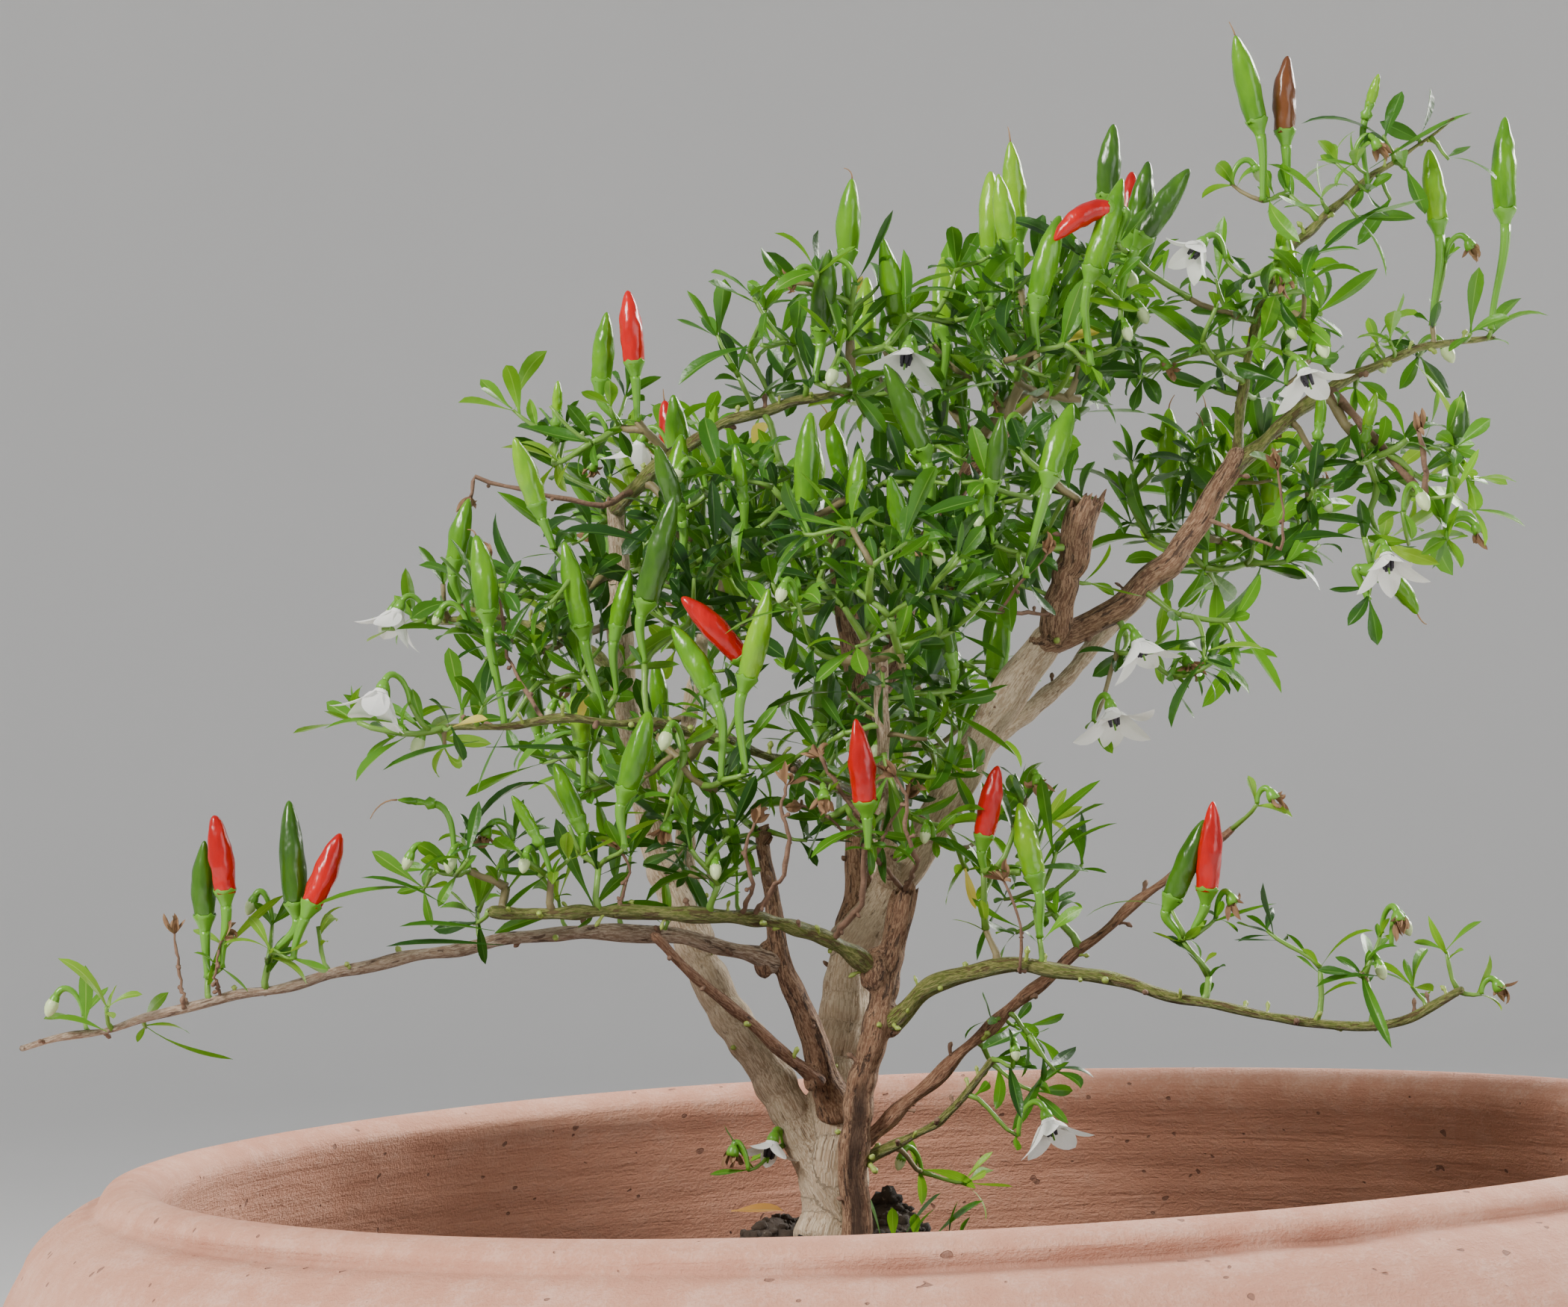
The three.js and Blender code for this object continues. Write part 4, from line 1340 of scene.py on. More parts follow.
def bow_line(start, way, length, bend, shares):
    """Points along a line that sets out one way and bends towards another. The shares say how
    far along it each point is, from 0 to 1."""
    shares = np.asarray(shares, float)
    heading = unit(unit(way) + bend * shares[:, None] * 2)
    steps = (heading[1:] + heading[:-1]) / 2 * length * np.diff(shares)[:, None]
    return start + np.vstack([np.zeros(3), np.cumsum(steps, axis=0)])


def spur(foot, way, length, scale, heap, roll):
    """A short stub with a swollen, knobbly end."""
    line = bow_line(foot, way, length, unit(roll.normal(size=3)) * 0.4, np.linspace(0, 1, 7))
    radii = np.array([1.0, 0.72, 0.60, 0.66, 0.95, 0.80, 0.30]) * scale * roll.uniform(0.85, 1.2, 7)
    heap.grid(bar_rows(line, radii, 7), ring=True, caps=(True, True))


SPUR_GAPS = {"grey_bark": 21, "brown_bark": 15, "green_stem": 7.5}
for slot, gap in SPUR_GAPS.items():
    for node in nodes_of[slot]:
        path, thick, along = paths[node]
        way, first, second = frames_along(path)
        reach = 14 * MM
        while reach < along[-1] - 4 * MM:
            i = int(np.searchsorted(along, reach))
            turn = spur_roll.uniform(0, 2 * math.pi)
            out = math.cos(turn) * first[i] + math.sin(turn) * second[i]
            aim = unit(out + np.array([0, 0, 0.5]) + way[i] * 0.3)
            heap = spur_green if spur_roll.random() < (0.75 if slot == "green_stem" else 0.4) else spur_brown
            spur(path[i] + out * thick[i] * 0.7, aim, spur_roll.uniform(1.6, 4.2) * MM,
                 spur_roll.uniform(0.55, 0.95) * MM, heap, spur_roll)
            reach += gap * spur_roll.uniform(0.5, 1.5) * MM

for node in ("low_right_arm", "green_left_arm", "under_right_twig"):
    for _ in range(6):
        out = unit(spur_roll.normal(size=3) + np.array([0.3, -0.5, 0.1]))
        foot = boughs[node][0][0] + out * 3.0 * MM
        spur(foot, out, spur_roll.uniform(2.5, 5.0) * MM, spur_roll.uniform(0.7, 1.0) * MM,
             spur_green, spur_roll)

spur_green_finish = Finish("green_spur", Base_Color=(0.29, 0.38, 0.07), Roughness=0.5)
spur_green_finish.bump(spur_green_finish.noise(spur_green_finish.place(), 900.0, 3.0), 0.0005, 0.6)
spur_green.make("green_spurs", "green_stem", [spur_green_finish])

# %% [markdown]
# Dead twigs are dry, brittle and angular, so their legs are straight with sharp bends and short
# spurs. They start at the nearest living wood and pass through a given spot.

# %% Dead twigs
dead_wood = Heap()
dead_tips = []


def box_spot(mass, shares):
    """A point in a node's box, by its shares of the box's sides."""
    low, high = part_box(mass)
    return np.array([a + (b - a) * s for a, b, s in zip(low, high, shares)])


def dead_twig(mass, shares, moves, thick=0.75):
    """A dry twig from the nearest bough, through a spot in a mass, then on by moves in mm."""
    start = box_spot(mass, shares)
    root = wood_start[np.linalg.norm(wood_start - start, axis=1).argmin()]
    keys = [root + (start - root) * t for t in (0.0, 0.5, 1.0)]
    for move in moves:
        keys.append(keys[-1] + np.array(move) * MM)
    legs = [a + (b - a) * np.arange(4)[:, None] / 4 for a, b in zip(keys[:-1], keys[1:])]
    line = np.vstack(legs + [keys[-1]])
    line = line + spur_roll.normal(0, 0.20, line.shape) * MM
    radii = np.linspace(thick, thick * 0.5, len(line)) * spur_roll.uniform(0.8, 1.25, len(line)) * MM
    dead_wood.grid(bar_rows(line, radii, 7), ring=True, caps=(True, True))
    for i in range(3, len(line) - 2, 4):
        spur(line[i], spur_roll.normal(size=3), 2.1 * MM, 0.62 * MM, dead_wood, spur_roll)
    dead_tips.append((line[-1], unit(line[-1] - line[-2])))


wood_start = wood_to_start_from()[0]
dead_twig("upper_left", (0.62, 0.3, -0.10), ((-17, -3, 4), (-17, -1, 5), (-1, 0, -5)), 0.9)
dead_twig("left_mid", (0.37, 0.3, 0.30), ((-1, 0, 14), (-3, 1, 12)), 0.6)
dead_twig("lower_centre", (0.40, 0.30, -0.10), ((1, -4, 12), (2, -2, 8), (-8, -1, 10), (-4, 0, 9)), 1.0)
dead_twig("lower_centre", (0.46, 0.25, 0.10), ((4, -3, 8), (5, -1, 7)), 0.7)
dead_twig("lower_centre", (0.36, 0.35, 0.20), ((-6, -3, 6), (-6, 0, 2)), 0.6)
dead_twig("right_mid", (0.64, 0.3, 0.40), ((0, -1, 9), (-1, 0, 9)), 1.3)
dead_twig("right_mid", (0.03, 0.3, 0.16), ((1, -1, 10), (-1, 0, 11)), 0.6)
dead_twig("low_left_spray", (0.02, 0.5, 0.20), ((0, -1, 7), (-1, 0, 7)), 0.6)
dead_twig("low_left_spray", (0.22, 0.4, 0.24), ((1, -2, 5), (2, 0, 5)), 0.55)
dead_twig("lower_centre", (0.10, 0.10, 0.05), ((2, -2, 9), (-2, -1, 8), (2, 0, 6)), 0.8)
dead_twig("lower_centre", (0.62, 0.10, 0.08), ((-3, -2, 8), (1, -1, 9), (-3, 0, 5)), 0.75)
dead_twig("lower_mid_left", (0.80, 0.20, 0.15), ((-2, -2, 9), (3, -1, 7)), 0.7)
dead_twig("lower_mid_left", (0.15, 0.20, 0.10), ((3, -2, 8), (-2, -1, 6)), 0.65)
dead_twig("lower_right", (0.46, 0.2, -0.05), ((1, -3, 12), (-4, 0, 12)), 0.6)
dead_twig("crown_centre", (0.62, 0.1, 0.10), ((6, -6, 8), (7, -1, 6)), 0.6)
dead_twig("back_left", (0.3, 0.8, 0.3), ((-8, 8, 10), (-8, 4, 9)), 0.7)
dead_twig("back_right", (0.7, 0.8, 0.3), ((9, 8, 8), (8, 3, 10)), 0.7)
dead_twig("back_low", (0.5, 0.8, 0.3), ((2, 12, 6), (-3, 9, 8)), 0.7)

dead_finish = Finish("dead_wood", Roughness=0.85)
dead_noise = dead_finish.noise(dead_finish.place(), 320.0, 4.0)
dead_finish.set(Base_Color=dead_finish.blend(dead_noise, (0.075, 0.035, 0.020), (0.30, 0.18, 0.115)))
dead_finish.bump(dead_finish.noise(dead_finish.place(), 1400.0, 3.0), 0.0005, 0.7)
dead_wood.make("dead_twigs", "brown_bark", [dead_finish])
spur_brown.make("brown_spurs", "brown_bark", [dead_finish])

# %% [markdown]
# ## Leaves
# The leaves are small, narrow and glossy. Each is a grid of points in its own outline: a stalk
# that widens into the blade, a fold along the midrib, and a bow that lets the tip hang. The two
# middle faces are the pale rib. Whole sprays share a tone, partly at random and partly by place:
# deep green in the middle of the crown is painted shade, and a fresh green at its edge is painted
# light. The tones are plain colours and need no image.

# %% One leaf
LEAF_ROWS = 8
LEAF_COLUMNS = np.array([-1.0, -0.52, -0.07, 0.07, 0.52, 1.0])
RIB_MARKS = np.array([0, 0, 1, 0, 0])


def leaf_rows(foot, way, up, length, width, bow, fold, twist, spoon):
    """Points of a leaf from its foot. Bow, fold and twist are in radians, spoon moves the
    widest part towards the tip."""
    t = np.linspace(0, 1, LEAF_ROWS + 1)
    rise, fall = 1.1 + 1.1 * spoon, 0.78
    shape = t ** rise * (1 - t) ** fall
    shape = shape / (shape.max() + 1e-9)
    half = np.maximum(width / 2 * shape, 0.32 * MM * (1 - t) ** 0.5)
    half[-1] = 0.05 * MM
    way = unit(way)
    up = unit(up - way * (up @ way))
    side = np.cross(way, up)
    angle = bow * t ** 1.3
    forward = np.cos(angle)[:, None] * way - np.sin(angle)[:, None] * up
    normal = np.cos(angle)[:, None] * up + np.sin(angle)[:, None] * way
    steps = np.cumsum((forward[1:] + forward[:-1]) / 2, axis=0)
    spine = foot + np.vstack([np.zeros(3), steps]) * length / LEAF_ROWS
    turn = twist * t
    leant = np.cos(turn)[:, None] * side + np.sin(turn)[:, None] * normal
    above = np.cos(turn)[:, None] * normal - np.sin(turn)[:, None] * side
    spread = LEAF_COLUMNS[None, :, None] * half[:, None, None]
    lift = np.abs(LEAF_COLUMNS)[None, :, None] ** 0.9 * half[:, None, None]
    return spine[:, None] + spread * leant[:, None] * math.cos(fold) + lift * above[:, None] * math.sin(fold)

# %% [markdown]
# A leaf lets light through, so its shader mixes in a translucent part. Each tone has a blade and
# a paler rib, and the dry tone is for a leaf that has fallen.

# %% Leaf tones
def leaf_finish(name, blade, rib, shine, glow):
    """The blade and the rib of one tone."""
    leaf = Finish(name, Base_Color=blade, Roughness=shine, Specular_IOR_Level=0.42)
    leaf.bump(leaf.noise(leaf.place(), 420.0, 3.0), 0.0006, 0.4)
    leaf.let_light_through(glow, 0.26)
    vein = Finish(name + "_rib", Base_Color=rib, Roughness=0.45)
    vein.bump(vein.noise(vein.place(), 900.0, 2.0), 0.0003, 0.3)
    vein.let_light_through(glow, 0.25)
    return [leaf, vein]


# The greens run from deep, painted shade, to pale, painted light; yellow and dry are real tones of single
# leaves.
LEAF_TONES = {
    "deep": leaf_finish("leaf_deep", (0.012, 0.054, 0.006), (0.060, 0.15, 0.022), 0.31, (0.08, 0.26, 0.01)),
    "mid": leaf_finish("leaf_mid", (0.030, 0.118, 0.007), (0.12, 0.26, 0.035), 0.34, (0.18, 0.48, 0.015)),
    "fresh": leaf_finish("leaf_fresh", (0.066, 0.218, 0.009), (0.20, 0.37, 0.050), 0.38, (0.30, 0.62, 0.02)),
    "pale": leaf_finish("leaf_pale", (0.150, 0.335, 0.018), (0.30, 0.47, 0.08), 0.40, (0.44, 0.72, 0.04)),
    "dry": leaf_finish("leaf_dry", (0.55, 0.27, 0.06), (0.50, 0.33, 0.12), 0.6, (0.60, 0.30, 0.05)),
    "yellow": leaf_finish("leaf_yellow", (0.62, 0.50, 0.07), (0.55, 0.50, 0.16), 0.5, (0.85, 0.70, 0.10)),
}
leaf_heaps = {tone: Heap() for tone in LEAF_TONES}

# %% [markdown]
# Leaves that cut through a fruit or hide it from the front would look wrong, so each fruit and
# flower keeps a rod of free room about its axis, and a leaf that reaches into it is left out.

# %% Room round the fruit
def axis_of(one):
    """A standout fruit's direction."""
    lean = math.radians(one["lean"])
    return unit(np.array([math.sin(lean), one["nod"], math.cos(lean)]))


rods = [(one["base"], one["base"] + axis_of(one) * one["size"]) for one in standouts]
nodding = [one for one in blooms if one["kind"] == OPEN]
rods += [(one["spot"], one["spot"] + one["away"] * 5 * MM - np.array([0, 0, 8 * MM])) for one in nodding]
rod_start = np.array([a for a, _ in rods])
rod_line = np.array([b - a for a, b in rods])
rod_room = np.array([4.8] * len(standouts) + [7.5] * len(nodding)) * MM
IN_FRONT = 0.30


def in_the_way(points):
    """True if any of the points is close to a standout fruit, or stands just before it. The
    fruit grows out into the light, so its front side is kept the clearest."""
    for point in points:
        reach = point - rod_start
        share = np.clip((reach * rod_line).sum(1) / (rod_line ** 2).sum(1), 0, 1)[:, None]
        gap = reach - share * rod_line
        gap[:, 1] *= np.where(gap[:, 1] < 0, IN_FRONT, 1.0)
        if (np.linalg.norm(gap, axis=1) < rod_room).any():
            return True
    return False

# %% [markdown]
# Leaves stand in small whorls at the nodes, a few at each, turned by the golden angle. The tone
# is drawn for the whole spray from how far out it is, with some chance: the dark tones inside the
# crown are painted shade, and the light ones outside are painted light.

# %% Dress the twigs
GOLDEN = math.pi * (3 - math.sqrt(5))
YELLOWED = 0.0025
crown_centre = np.array([(a + b) / 2 for a, b in zip(*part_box("crown_centre"))])


def spray_tone_and_painted_light(roll, spot):
    """A tone for a whole spray, partly at random and partly by place: darker towards the middle of
    the crown as painted shade, lighter towards its outside and the low sprays as painted light.
    """
    out = np.linalg.norm((spot - crown_centre) * np.array([1, 1, 1.3])) / (120 * MM)
    level = out * 0.46 + roll.normal(0, 0.30)
    if level < 0.31:
        return "deep"
    if level < 0.68:
        return "mid"
    return "fresh" if level < 1.04 else "pale"


def lean_on(spot):
    """The low sprays have narrower leaves than the top of the crown."""
    return float(np.interp(spot[2], [0.40, 0.50], [0.74, 1.0]))


def dress(spot, way, number, roll, tone, typical=12.5):
    """A whorl of leaves round the end of a shoot. The longer a leaf, the narrower it is."""
    start = roll.uniform(0, 2 * math.pi)
    spare = unit(np.cross(way, [0.3, 0.9, 0.1]))
    other = np.cross(way, spare)
    for i in range(number):
        turn = start + i * GOLDEN
        out = math.cos(turn) * spare + math.sin(turn) * other
        open_angle = roll.uniform(0.5, 1.3)
        aim = unit(way * math.cos(open_angle) + out * math.sin(open_angle) + np.array([0, 0, 0.25]))
        up = unit(np.array([0, 0, 1.0]) * 0.8 + way * 0.6 + roll.normal(0, 0.3, 3))
        size = float(np.clip(roll.lognormal(math.log(typical), 0.34), 5.0, 27.0))
        slim = np.interp(size, [5, 12, 27], [0.46, 0.34, 0.19]) * roll.uniform(0.82, 1.12) * lean_on(spot)
        foot = spot + way * roll.uniform(-2.5, 0.5) * MM
        if in_the_way([foot + aim * size * MM * t for t in (0.45, 0.75, 1.0)]):
            continue
        shade = "yellow" if roll.random() < YELLOWED else tone
        rows = leaf_rows(foot, aim, up, size * MM, size * slim * MM, roll.normal(0.45, 0.5),
                         roll.uniform(0.1, 0.55), roll.normal(0, 0.55), roll.uniform(-0.2, 0.9))
        leaf_heaps[shade].grid(rows, marks=RIB_MARKS)


leaf_roll = np.random.default_rng(51)
for shoot in shoots:
    line = shoot["line"]
    way = unit(line[-1] - line[-2])
    tone = spray_tone_and_painted_light(leaf_roll, line[-1])
    is_held = shoot["target"] < len(held)
    number = int(leaf_roll.integers(2, 4)) if is_held else int(leaf_roll.integers(3, 6))
    dress(line[-1], way, number, leaf_roll, tone, 9.5 if is_held else 12.5)
    for i in range(1, len(line) - 1):
        if leaf_roll.random() < 0.22:
            dress(line[i], unit(line[i + 1] - line[i - 1]), 1, leaf_roll, tone, 10.0)

# %% [markdown]
# A few long leaves are known by their own outline against the sky, so they are set one by one:
# each by its place in a mass, the way and distance to its tip, and its width.

# %% Leaves that stand out
def long_leaf(mass, shares, reach, width, tone, bow=0.3, fold=0.35, twist=0.0):
    """One leaf, its reach and width in millimetres."""
    reach = np.array(reach, float) * MM
    up = unit(np.array([0, -0.25, 1.0]))
    rows = leaf_rows(box_spot(mass, shares), unit(reach), up, np.linalg.norm(reach) * 1.04, width * MM,
                     bow, fold, twist, 0.35)
    leaf_heaps[tone].grid(rows, marks=RIB_MARKS)


long_leaf("top_sprig_leaves", (0.42, 0.5, 0.50), (26, 0, 15), 4.8, "mid", bow=0.15)
long_leaf("top_sprig_leaves", (-0.01, 0.4, -0.16), (22, -2, 19), 5.2, "deep", bow=0.25)
long_leaf("top_sprig_leaves", (-0.05, 0.3, -0.10), (16, -5, 6), 5.0, "mid", bow=0.5)
long_leaf("right_tip_leaves", (0.70, 0.5, 0.42), (12, -2, -16), 8.0, "pale", bow=0.45, twist=0.6)
long_leaf("left_flower_spray", (0.44, 0.3, 0.33), (-14, -2, -8), 7.0, "fresh", bow=0.4)
long_leaf("left_flower_spray", (0.80, 0.3, 0.26), (-24, -3, -3), 5.2, "mid", bow=0.3)
long_leaf("left_flower_spray", (0.83, 0.3, 0.20), (25, -3, -1), 5.5, "deep", bow=0.1, fold=0.15)
long_leaf("left_flower_spray", (0.44, 0.3, 0.44), (-19, -3, 5), 3.8, "fresh", bow=0.6)
long_leaf("lower_left", (0.43, 0.3, 0.03), (-28, -5, 3), 4.6, "deep", bow=0.15)
long_leaf("lower_left", (0.40, 0.35, 0.12), (-22, -8, 5), 4.4, "mid", bow=0.25)
long_leaf("lower_left", (0.19, 0.3, 0.42), (-29, -4, 2), 4.2, "fresh", bow=0.45)
long_leaf("lower_left", (0.24, 0.3, 0.30), (-18, -4, 12), 3.8, "mid", bow=0.5)
for foot, reach, width, tone, bow in (
        (0.05, (-3, -3, 13), 4.6, "mid", 0.15), (0.15, (0, -3, 9), 3.0, "fresh", 0.2),
        (0.22, (9, -4, 13), 5.0, "deep", 0.25), (0.34, (0, -2, 7), 3.0, "fresh", 0.2),
        (0.48, (12, -3, 11), 5.4, "mid", 0.3), (0.62, (2, -3, 10), 4.0, "deep", 0.2),
        (0.72, (2, -3, 6), 3.4, "mid", 0.3), (0.30, (5, -5, 9), 4.4, "mid", 0.3)):
    long_leaf("base_right", (foot, 0.35, -0.05), reach, width, tone, bow=bow, fold=0.2)
long_leaf("crown_top_centre", (0.17, 0.2, 0.37), (12, -3, 6), 8.0, "mid", bow=0.4)
long_leaf("right_mid", (0.81, 0.3, 0.33), (15, -2, -2), 5.0, "fresh", bow=0.5)
long_leaf("right_lower_leaves", (0.55, 0.3, 0.40), (14, -3, -7), 6.4, "fresh", bow=0.5)
long_leaf("right_lower_leaves", (0.58, 0.3, 0.45), (15, -3, 3), 5.6, "pale", bow=0.5)
long_leaf("arm_tip_leaves", (0.45, 0.4, 0.30), (-12, -2, 6), 5.0, "fresh", bow=0.4)
long_leaf("right_low_tip", (0.40, 0.4, 0.45), (-17, -3, 2), 4.6, "mid", bow=0.5)

fallen = np.array([TRUNK_FOOT.x - 27 * MM, TRUNK_FOOT.y + 6 * MM, GROUND + 7.5 * MM])
leaf_heaps["dry"].grid(leaf_rows(fallen, unit(np.array([1.0, -0.15, 0.05])), unit(np.array([0.1, -0.7, 0.7])),
                                 14 * MM, 4.6 * MM, 0.25, 0.35, 0.5, 0.4), marks=RIB_MARKS)

for tone, heap in leaf_heaps.items():
    pieces = heap.make("leaves_" + tone, "foliage", LEAF_TONES[tone], MASSES if tone == "mid" else ())
    print(tone, heap.things, "leaves in", len(pieces), "pieces")

# %% [markdown]
# ## Fruit
# Slim upright fruit, narrow at the neck, fullest a third of the way up and drawn to a point,
# with a lumpy glossy skin. Each stands in a green cup on a ribbed stalk that thickens upwards.
# Some still carry the dry thread of the flower at the tip.

# %% One fruit
POD_SHARES = 1 - np.linspace(1, 0, 25) ** 1.6
POD_SIDES = 18
pod_heaps = {tone: Heap() for tone in (GREEN, "fresh_green", DARK, RED, BROWN)}
stalk_heap, thread_heap = Heap(), Heap()


def pod(base, way, size, tone, roll, hair=0.0, curl=None):
    """One fruit on its cup: full from the cup up, drawn in slowly, and blunt at the tip."""
    reach = min(0.157 * size, roll.uniform(3.15, 3.60) * MM)
    bend = unit(roll.normal(size=3)) * roll.uniform(0.02, 0.12) if curl is None else np.array(curl)
    line = bow_line(base, way, size, bend, POD_SHARES)
    t = POD_SHARES
    body = 0.84 + 0.16 * np.sin(np.clip(t / 0.9, 0, 1) * math.pi)
    drawn_in = 1 - roll.uniform(0.24, 0.46) * np.clip((t - 0.45) / 0.55, 0, 1) ** 1.5
    blunt = np.sqrt(1 - t ** roll.uniform(5, 9))
    turn = np.arange(POD_SIDES) / POD_SIDES * 2 * math.pi
    dents = waves(int(roll.integers(1e6)), 7, 5.0)
    skin = np.stack(np.broadcast_arrays(np.cos(turn)[None], np.sin(turn)[None], t[:, None] * 4.4), -1)
    radii = (reach * body * drawn_in * blunt)[:, None] * (1 + 0.055 * dents(skin))
    radii[-1] = 0.05 * MM
    pod_heaps[tone].grid(bar_rows(line, radii, POD_SIDES), ring=True, caps=(True, True))
    cup(base, way, reach * 0.84)
    if hair:
        wisp = bow_line(line[-1], line[-1] - line[-2], hair, unit(roll.normal(size=3)) * 0.7,
                        np.linspace(0, 1, 7))
        thread_heap.grid(bar_rows(wisp, np.linspace(0.26, 0.12, 7) * MM, 5), ring=True, caps=(True, True))


def rings_across(line, way, radii, sides):
    """Rings round a straight line, all square to one direction."""
    first = unit(np.cross(way, [0.21, 0.93, 0.3]))
    second = np.cross(way, first)
    turn = np.arange(sides) / sides * 2 * math.pi
    ring = np.cos(turn)[:, None] * first + np.sin(turn)[:, None] * second
    return line[:, None] + ring[None] * np.asarray(radii).reshape(len(line), -1, 1)


def cup(base, way, reach):
    """The calyx: a smooth cone that clasps the foot of the fruit, with five small teeth."""
    way = unit(way)
    levels = np.array([-3.6, -2.9, -2.0, -1.0, 0.0, 0.75, 0.95, 0.6]) * MM
    reaches = np.array([1.30, 1.42, 1.75, 0.0, 0.0, 0.0, 0.0, 0.0]) * MM
    reaches = np.maximum(reaches, np.array([0.30, 0.38, 0.56, 0.82, 1.03, 1.14, 1.12, 1.0]) * reach)
    turn = np.arange(20) / 20 * 2 * math.pi
    rows = rings_across(base + levels[:, None] * way, way, reaches, 20)
    teeth = np.clip(np.cos(turn * 5), 0, 1) ** 2 * 0.55 * MM
    rows[4:7] += teeth[None, :, None] * way * np.array([0.3, 1.0, 1.0])[:, None, None]
    stalk_heap.grid(rows, ring=True, caps=(True, True))


def swung_line(foot, leave, top, arrive, count):
    """A smooth line between two points that leaves and arrives in the given directions."""
    t = np.linspace(0, 1, count)[:, None]
    return ((2 * t ** 3 - 3 * t ** 2 + 1) * foot + (t ** 3 - 2 * t ** 2 + t) * leave
            + (-2 * t ** 3 + 3 * t ** 2) * top + (t ** 3 - t ** 2) * arrive)


def stalk(foot, base, way, thin=0.80, thick=1.42):
    """A ribbed stalk from the twig to the cup, thickening upwards."""
    top = base - unit(way) * 3.2 * MM
    reach = np.linalg.norm(top - foot)
    leave = unit(np.array([0, 0, 1.0]) + (top - foot) / max(reach, 1e-6) * 0.8) * reach
    line = swung_line(foot, leave, top, unit(way) * reach, 13)
    ribs = 1 + 0.09 * np.cos(np.arange(15) / 15 * 2 * math.pi * 5)
    swell = thin + (thick - thin) * np.linspace(0, 1, 13) ** 1.5
    swell[0] = thin * 1.35
    stalk_heap.grid(bar_rows(line, swell[:, None] * ribs * MM, 15), ring=True, caps=(True, True))

# %% [markdown]
# Each fruit of the list gets its stalk from the wood, its cup and its pod.

# %% Set the standout fruit
fruit_roll = np.random.default_rng(61)
for one in standouts:
    way = axis_of(one) + np.array([0, fruit_roll.normal(0, 0.07), 0])
    tone = one["tone"]
    if tone == GREEN and fruit_roll.random() < 0.4:
        tone = "fresh_green"
    lying = abs(one["lean"]) > 80 and one["size"] > 12 * MM
    young = one["size"] < 12 * MM
    stalk(one["foot"], one["base"], way, *((0.6, 0.95) if young else (0.80, 1.42)))
    pod(one["base"], way, one["size"], tone, fruit_roll, one["hair"], (-0.1, 0, -0.75) if lying else None)

# %% [markdown]
# Behind and to the sides the crown bears fruit as well. There they follow a rule: the highest
# nodes of each mass carry them, most of them green, standing up on stalks of their own length.

# %% Fruit by rule
def crowd_free(spot, others, gap):
    return all(np.linalg.norm((spot - other) * np.array([1, 1, 0.6])) > gap for other in others)


FRUIT_PER_MASS = {"back_upper": 8, "back_left": 8, "back_right": 7, "back_low": 6, "back_low_left": 4,
                  "front_centre": 2, "crown_top_left": 2, "crown_centre": 3, "crown_top_centre": 3,
                  "left_mid": 1, "crown_mid_left": 2, "crown_top_right": 1, "right_mid": 1, "left_back": 1}
RIPE_BEHIND = 58 * MM
standing = [one["base"] for one in standouts]
for mass, wanted in FRUIT_PER_MASS.items():
    low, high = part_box(mass)
    for index in fruit_roll.permutation(len(spots_of[mass])):
        spot = spots_of[mass][index]
        rise = fruit_roll.uniform(10, 17) * MM
        size = fruit_roll.uniform(17, 25) * MM
        base = spot + np.array([*fruit_roll.normal(0, 2 * MM, 2), rise])
        if wanted == 0:
            break
        if base[2] + size > high.z + 5 * MM or not crowd_free(base, standing, 9 * MM):
            continue
        way = unit(np.array([*fruit_roll.normal(0, 0.16, 2), 1.0]))
        ripe = 0.14 if spot[1] > RIPE_BEHIND else 0.0
        tone = str(fruit_roll.choice([GREEN, "fresh_green", DARK, RED], p=[0.48 - ripe, 0.27, 0.25, ripe]))
        stalk(spot, base, way)
        pod(base, way, size, tone, fruit_roll,
            fruit_roll.uniform(3, 5) * MM if fruit_roll.random() < 0.2 else 0)
        standing.append(base)
        wanted -= 1
print("fruit in all:", len(standing))

# %% [markdown]
# The skin of a pod is smooth and waxy, with slow drifts of colour along it and slight dents.
# Ripe ones are a deep red, and one is browning on the way.

# %% Fruit finishes
def pod_finish(name, skin, shade):
    finish = Finish(name, Roughness=0.26, Specular_IOR_Level=0.38, Coat_Weight=0.14, Coat_Roughness=0.05)
    drift = finish.mask(finish.noise(finish.place((1, 1, 0.45)), 150.0, 3.0), 0.35, 0.7)
    finish.set(Base_Color=finish.blend(drift, skin, shade))
    finish.bump(finish.noise(finish.place((1, 1, 0.5)), 330.0, 2.0), 0.0010, 0.5)
    return finish


POD_FINISHES = {
    GREEN: pod_finish("fruit_green", (0.110, 0.30, 0.004), (0.060, 0.195, 0.004)),
    "fresh_green": pod_finish("fruit_fresh_green", (0.205, 0.43, 0.006), (0.120, 0.32, 0.005)),
    DARK: pod_finish("fruit_dark_green", (0.050, 0.145, 0.006), (0.026, 0.080, 0.006)),
    RED: pod_finish("fruit_red", (0.54, 0.004, 0.002), (0.36, 0.002, 0.001)),
    BROWN: pod_finish("fruit_brown", (0.16, 0.055, 0.016), (0.095, 0.028, 0.010)),
}
for tone, heap in pod_heaps.items():
    heap.make("fruit_" + tone, "foliage", [POD_FINISHES[tone]])

stalk_finish = Finish("fruit_stalk", Base_Color=(0.125, 0.33, 0.022), Roughness=0.33, Specular_IOR_Level=0.5)
stalk_finish.bump(stalk_finish.noise(stalk_finish.place(), 700.0, 2.0), 0.0003, 0.3)

# %% [markdown]
# ## Flowers
# Small white stars that nod on hooked stalks, five pointed petals bent a little back around
# dark anthers. A petal is a leaf-like grid of its own. Buds are pale ovals, and spent flowers
# shrivel to brown crumpled cups.

# %% Petals, buds and spent flowers
petal_heap, anther_heap, bud_heap, dry_heap = Heap(), Heap(), Heap(), Heap()
PETALS = 5


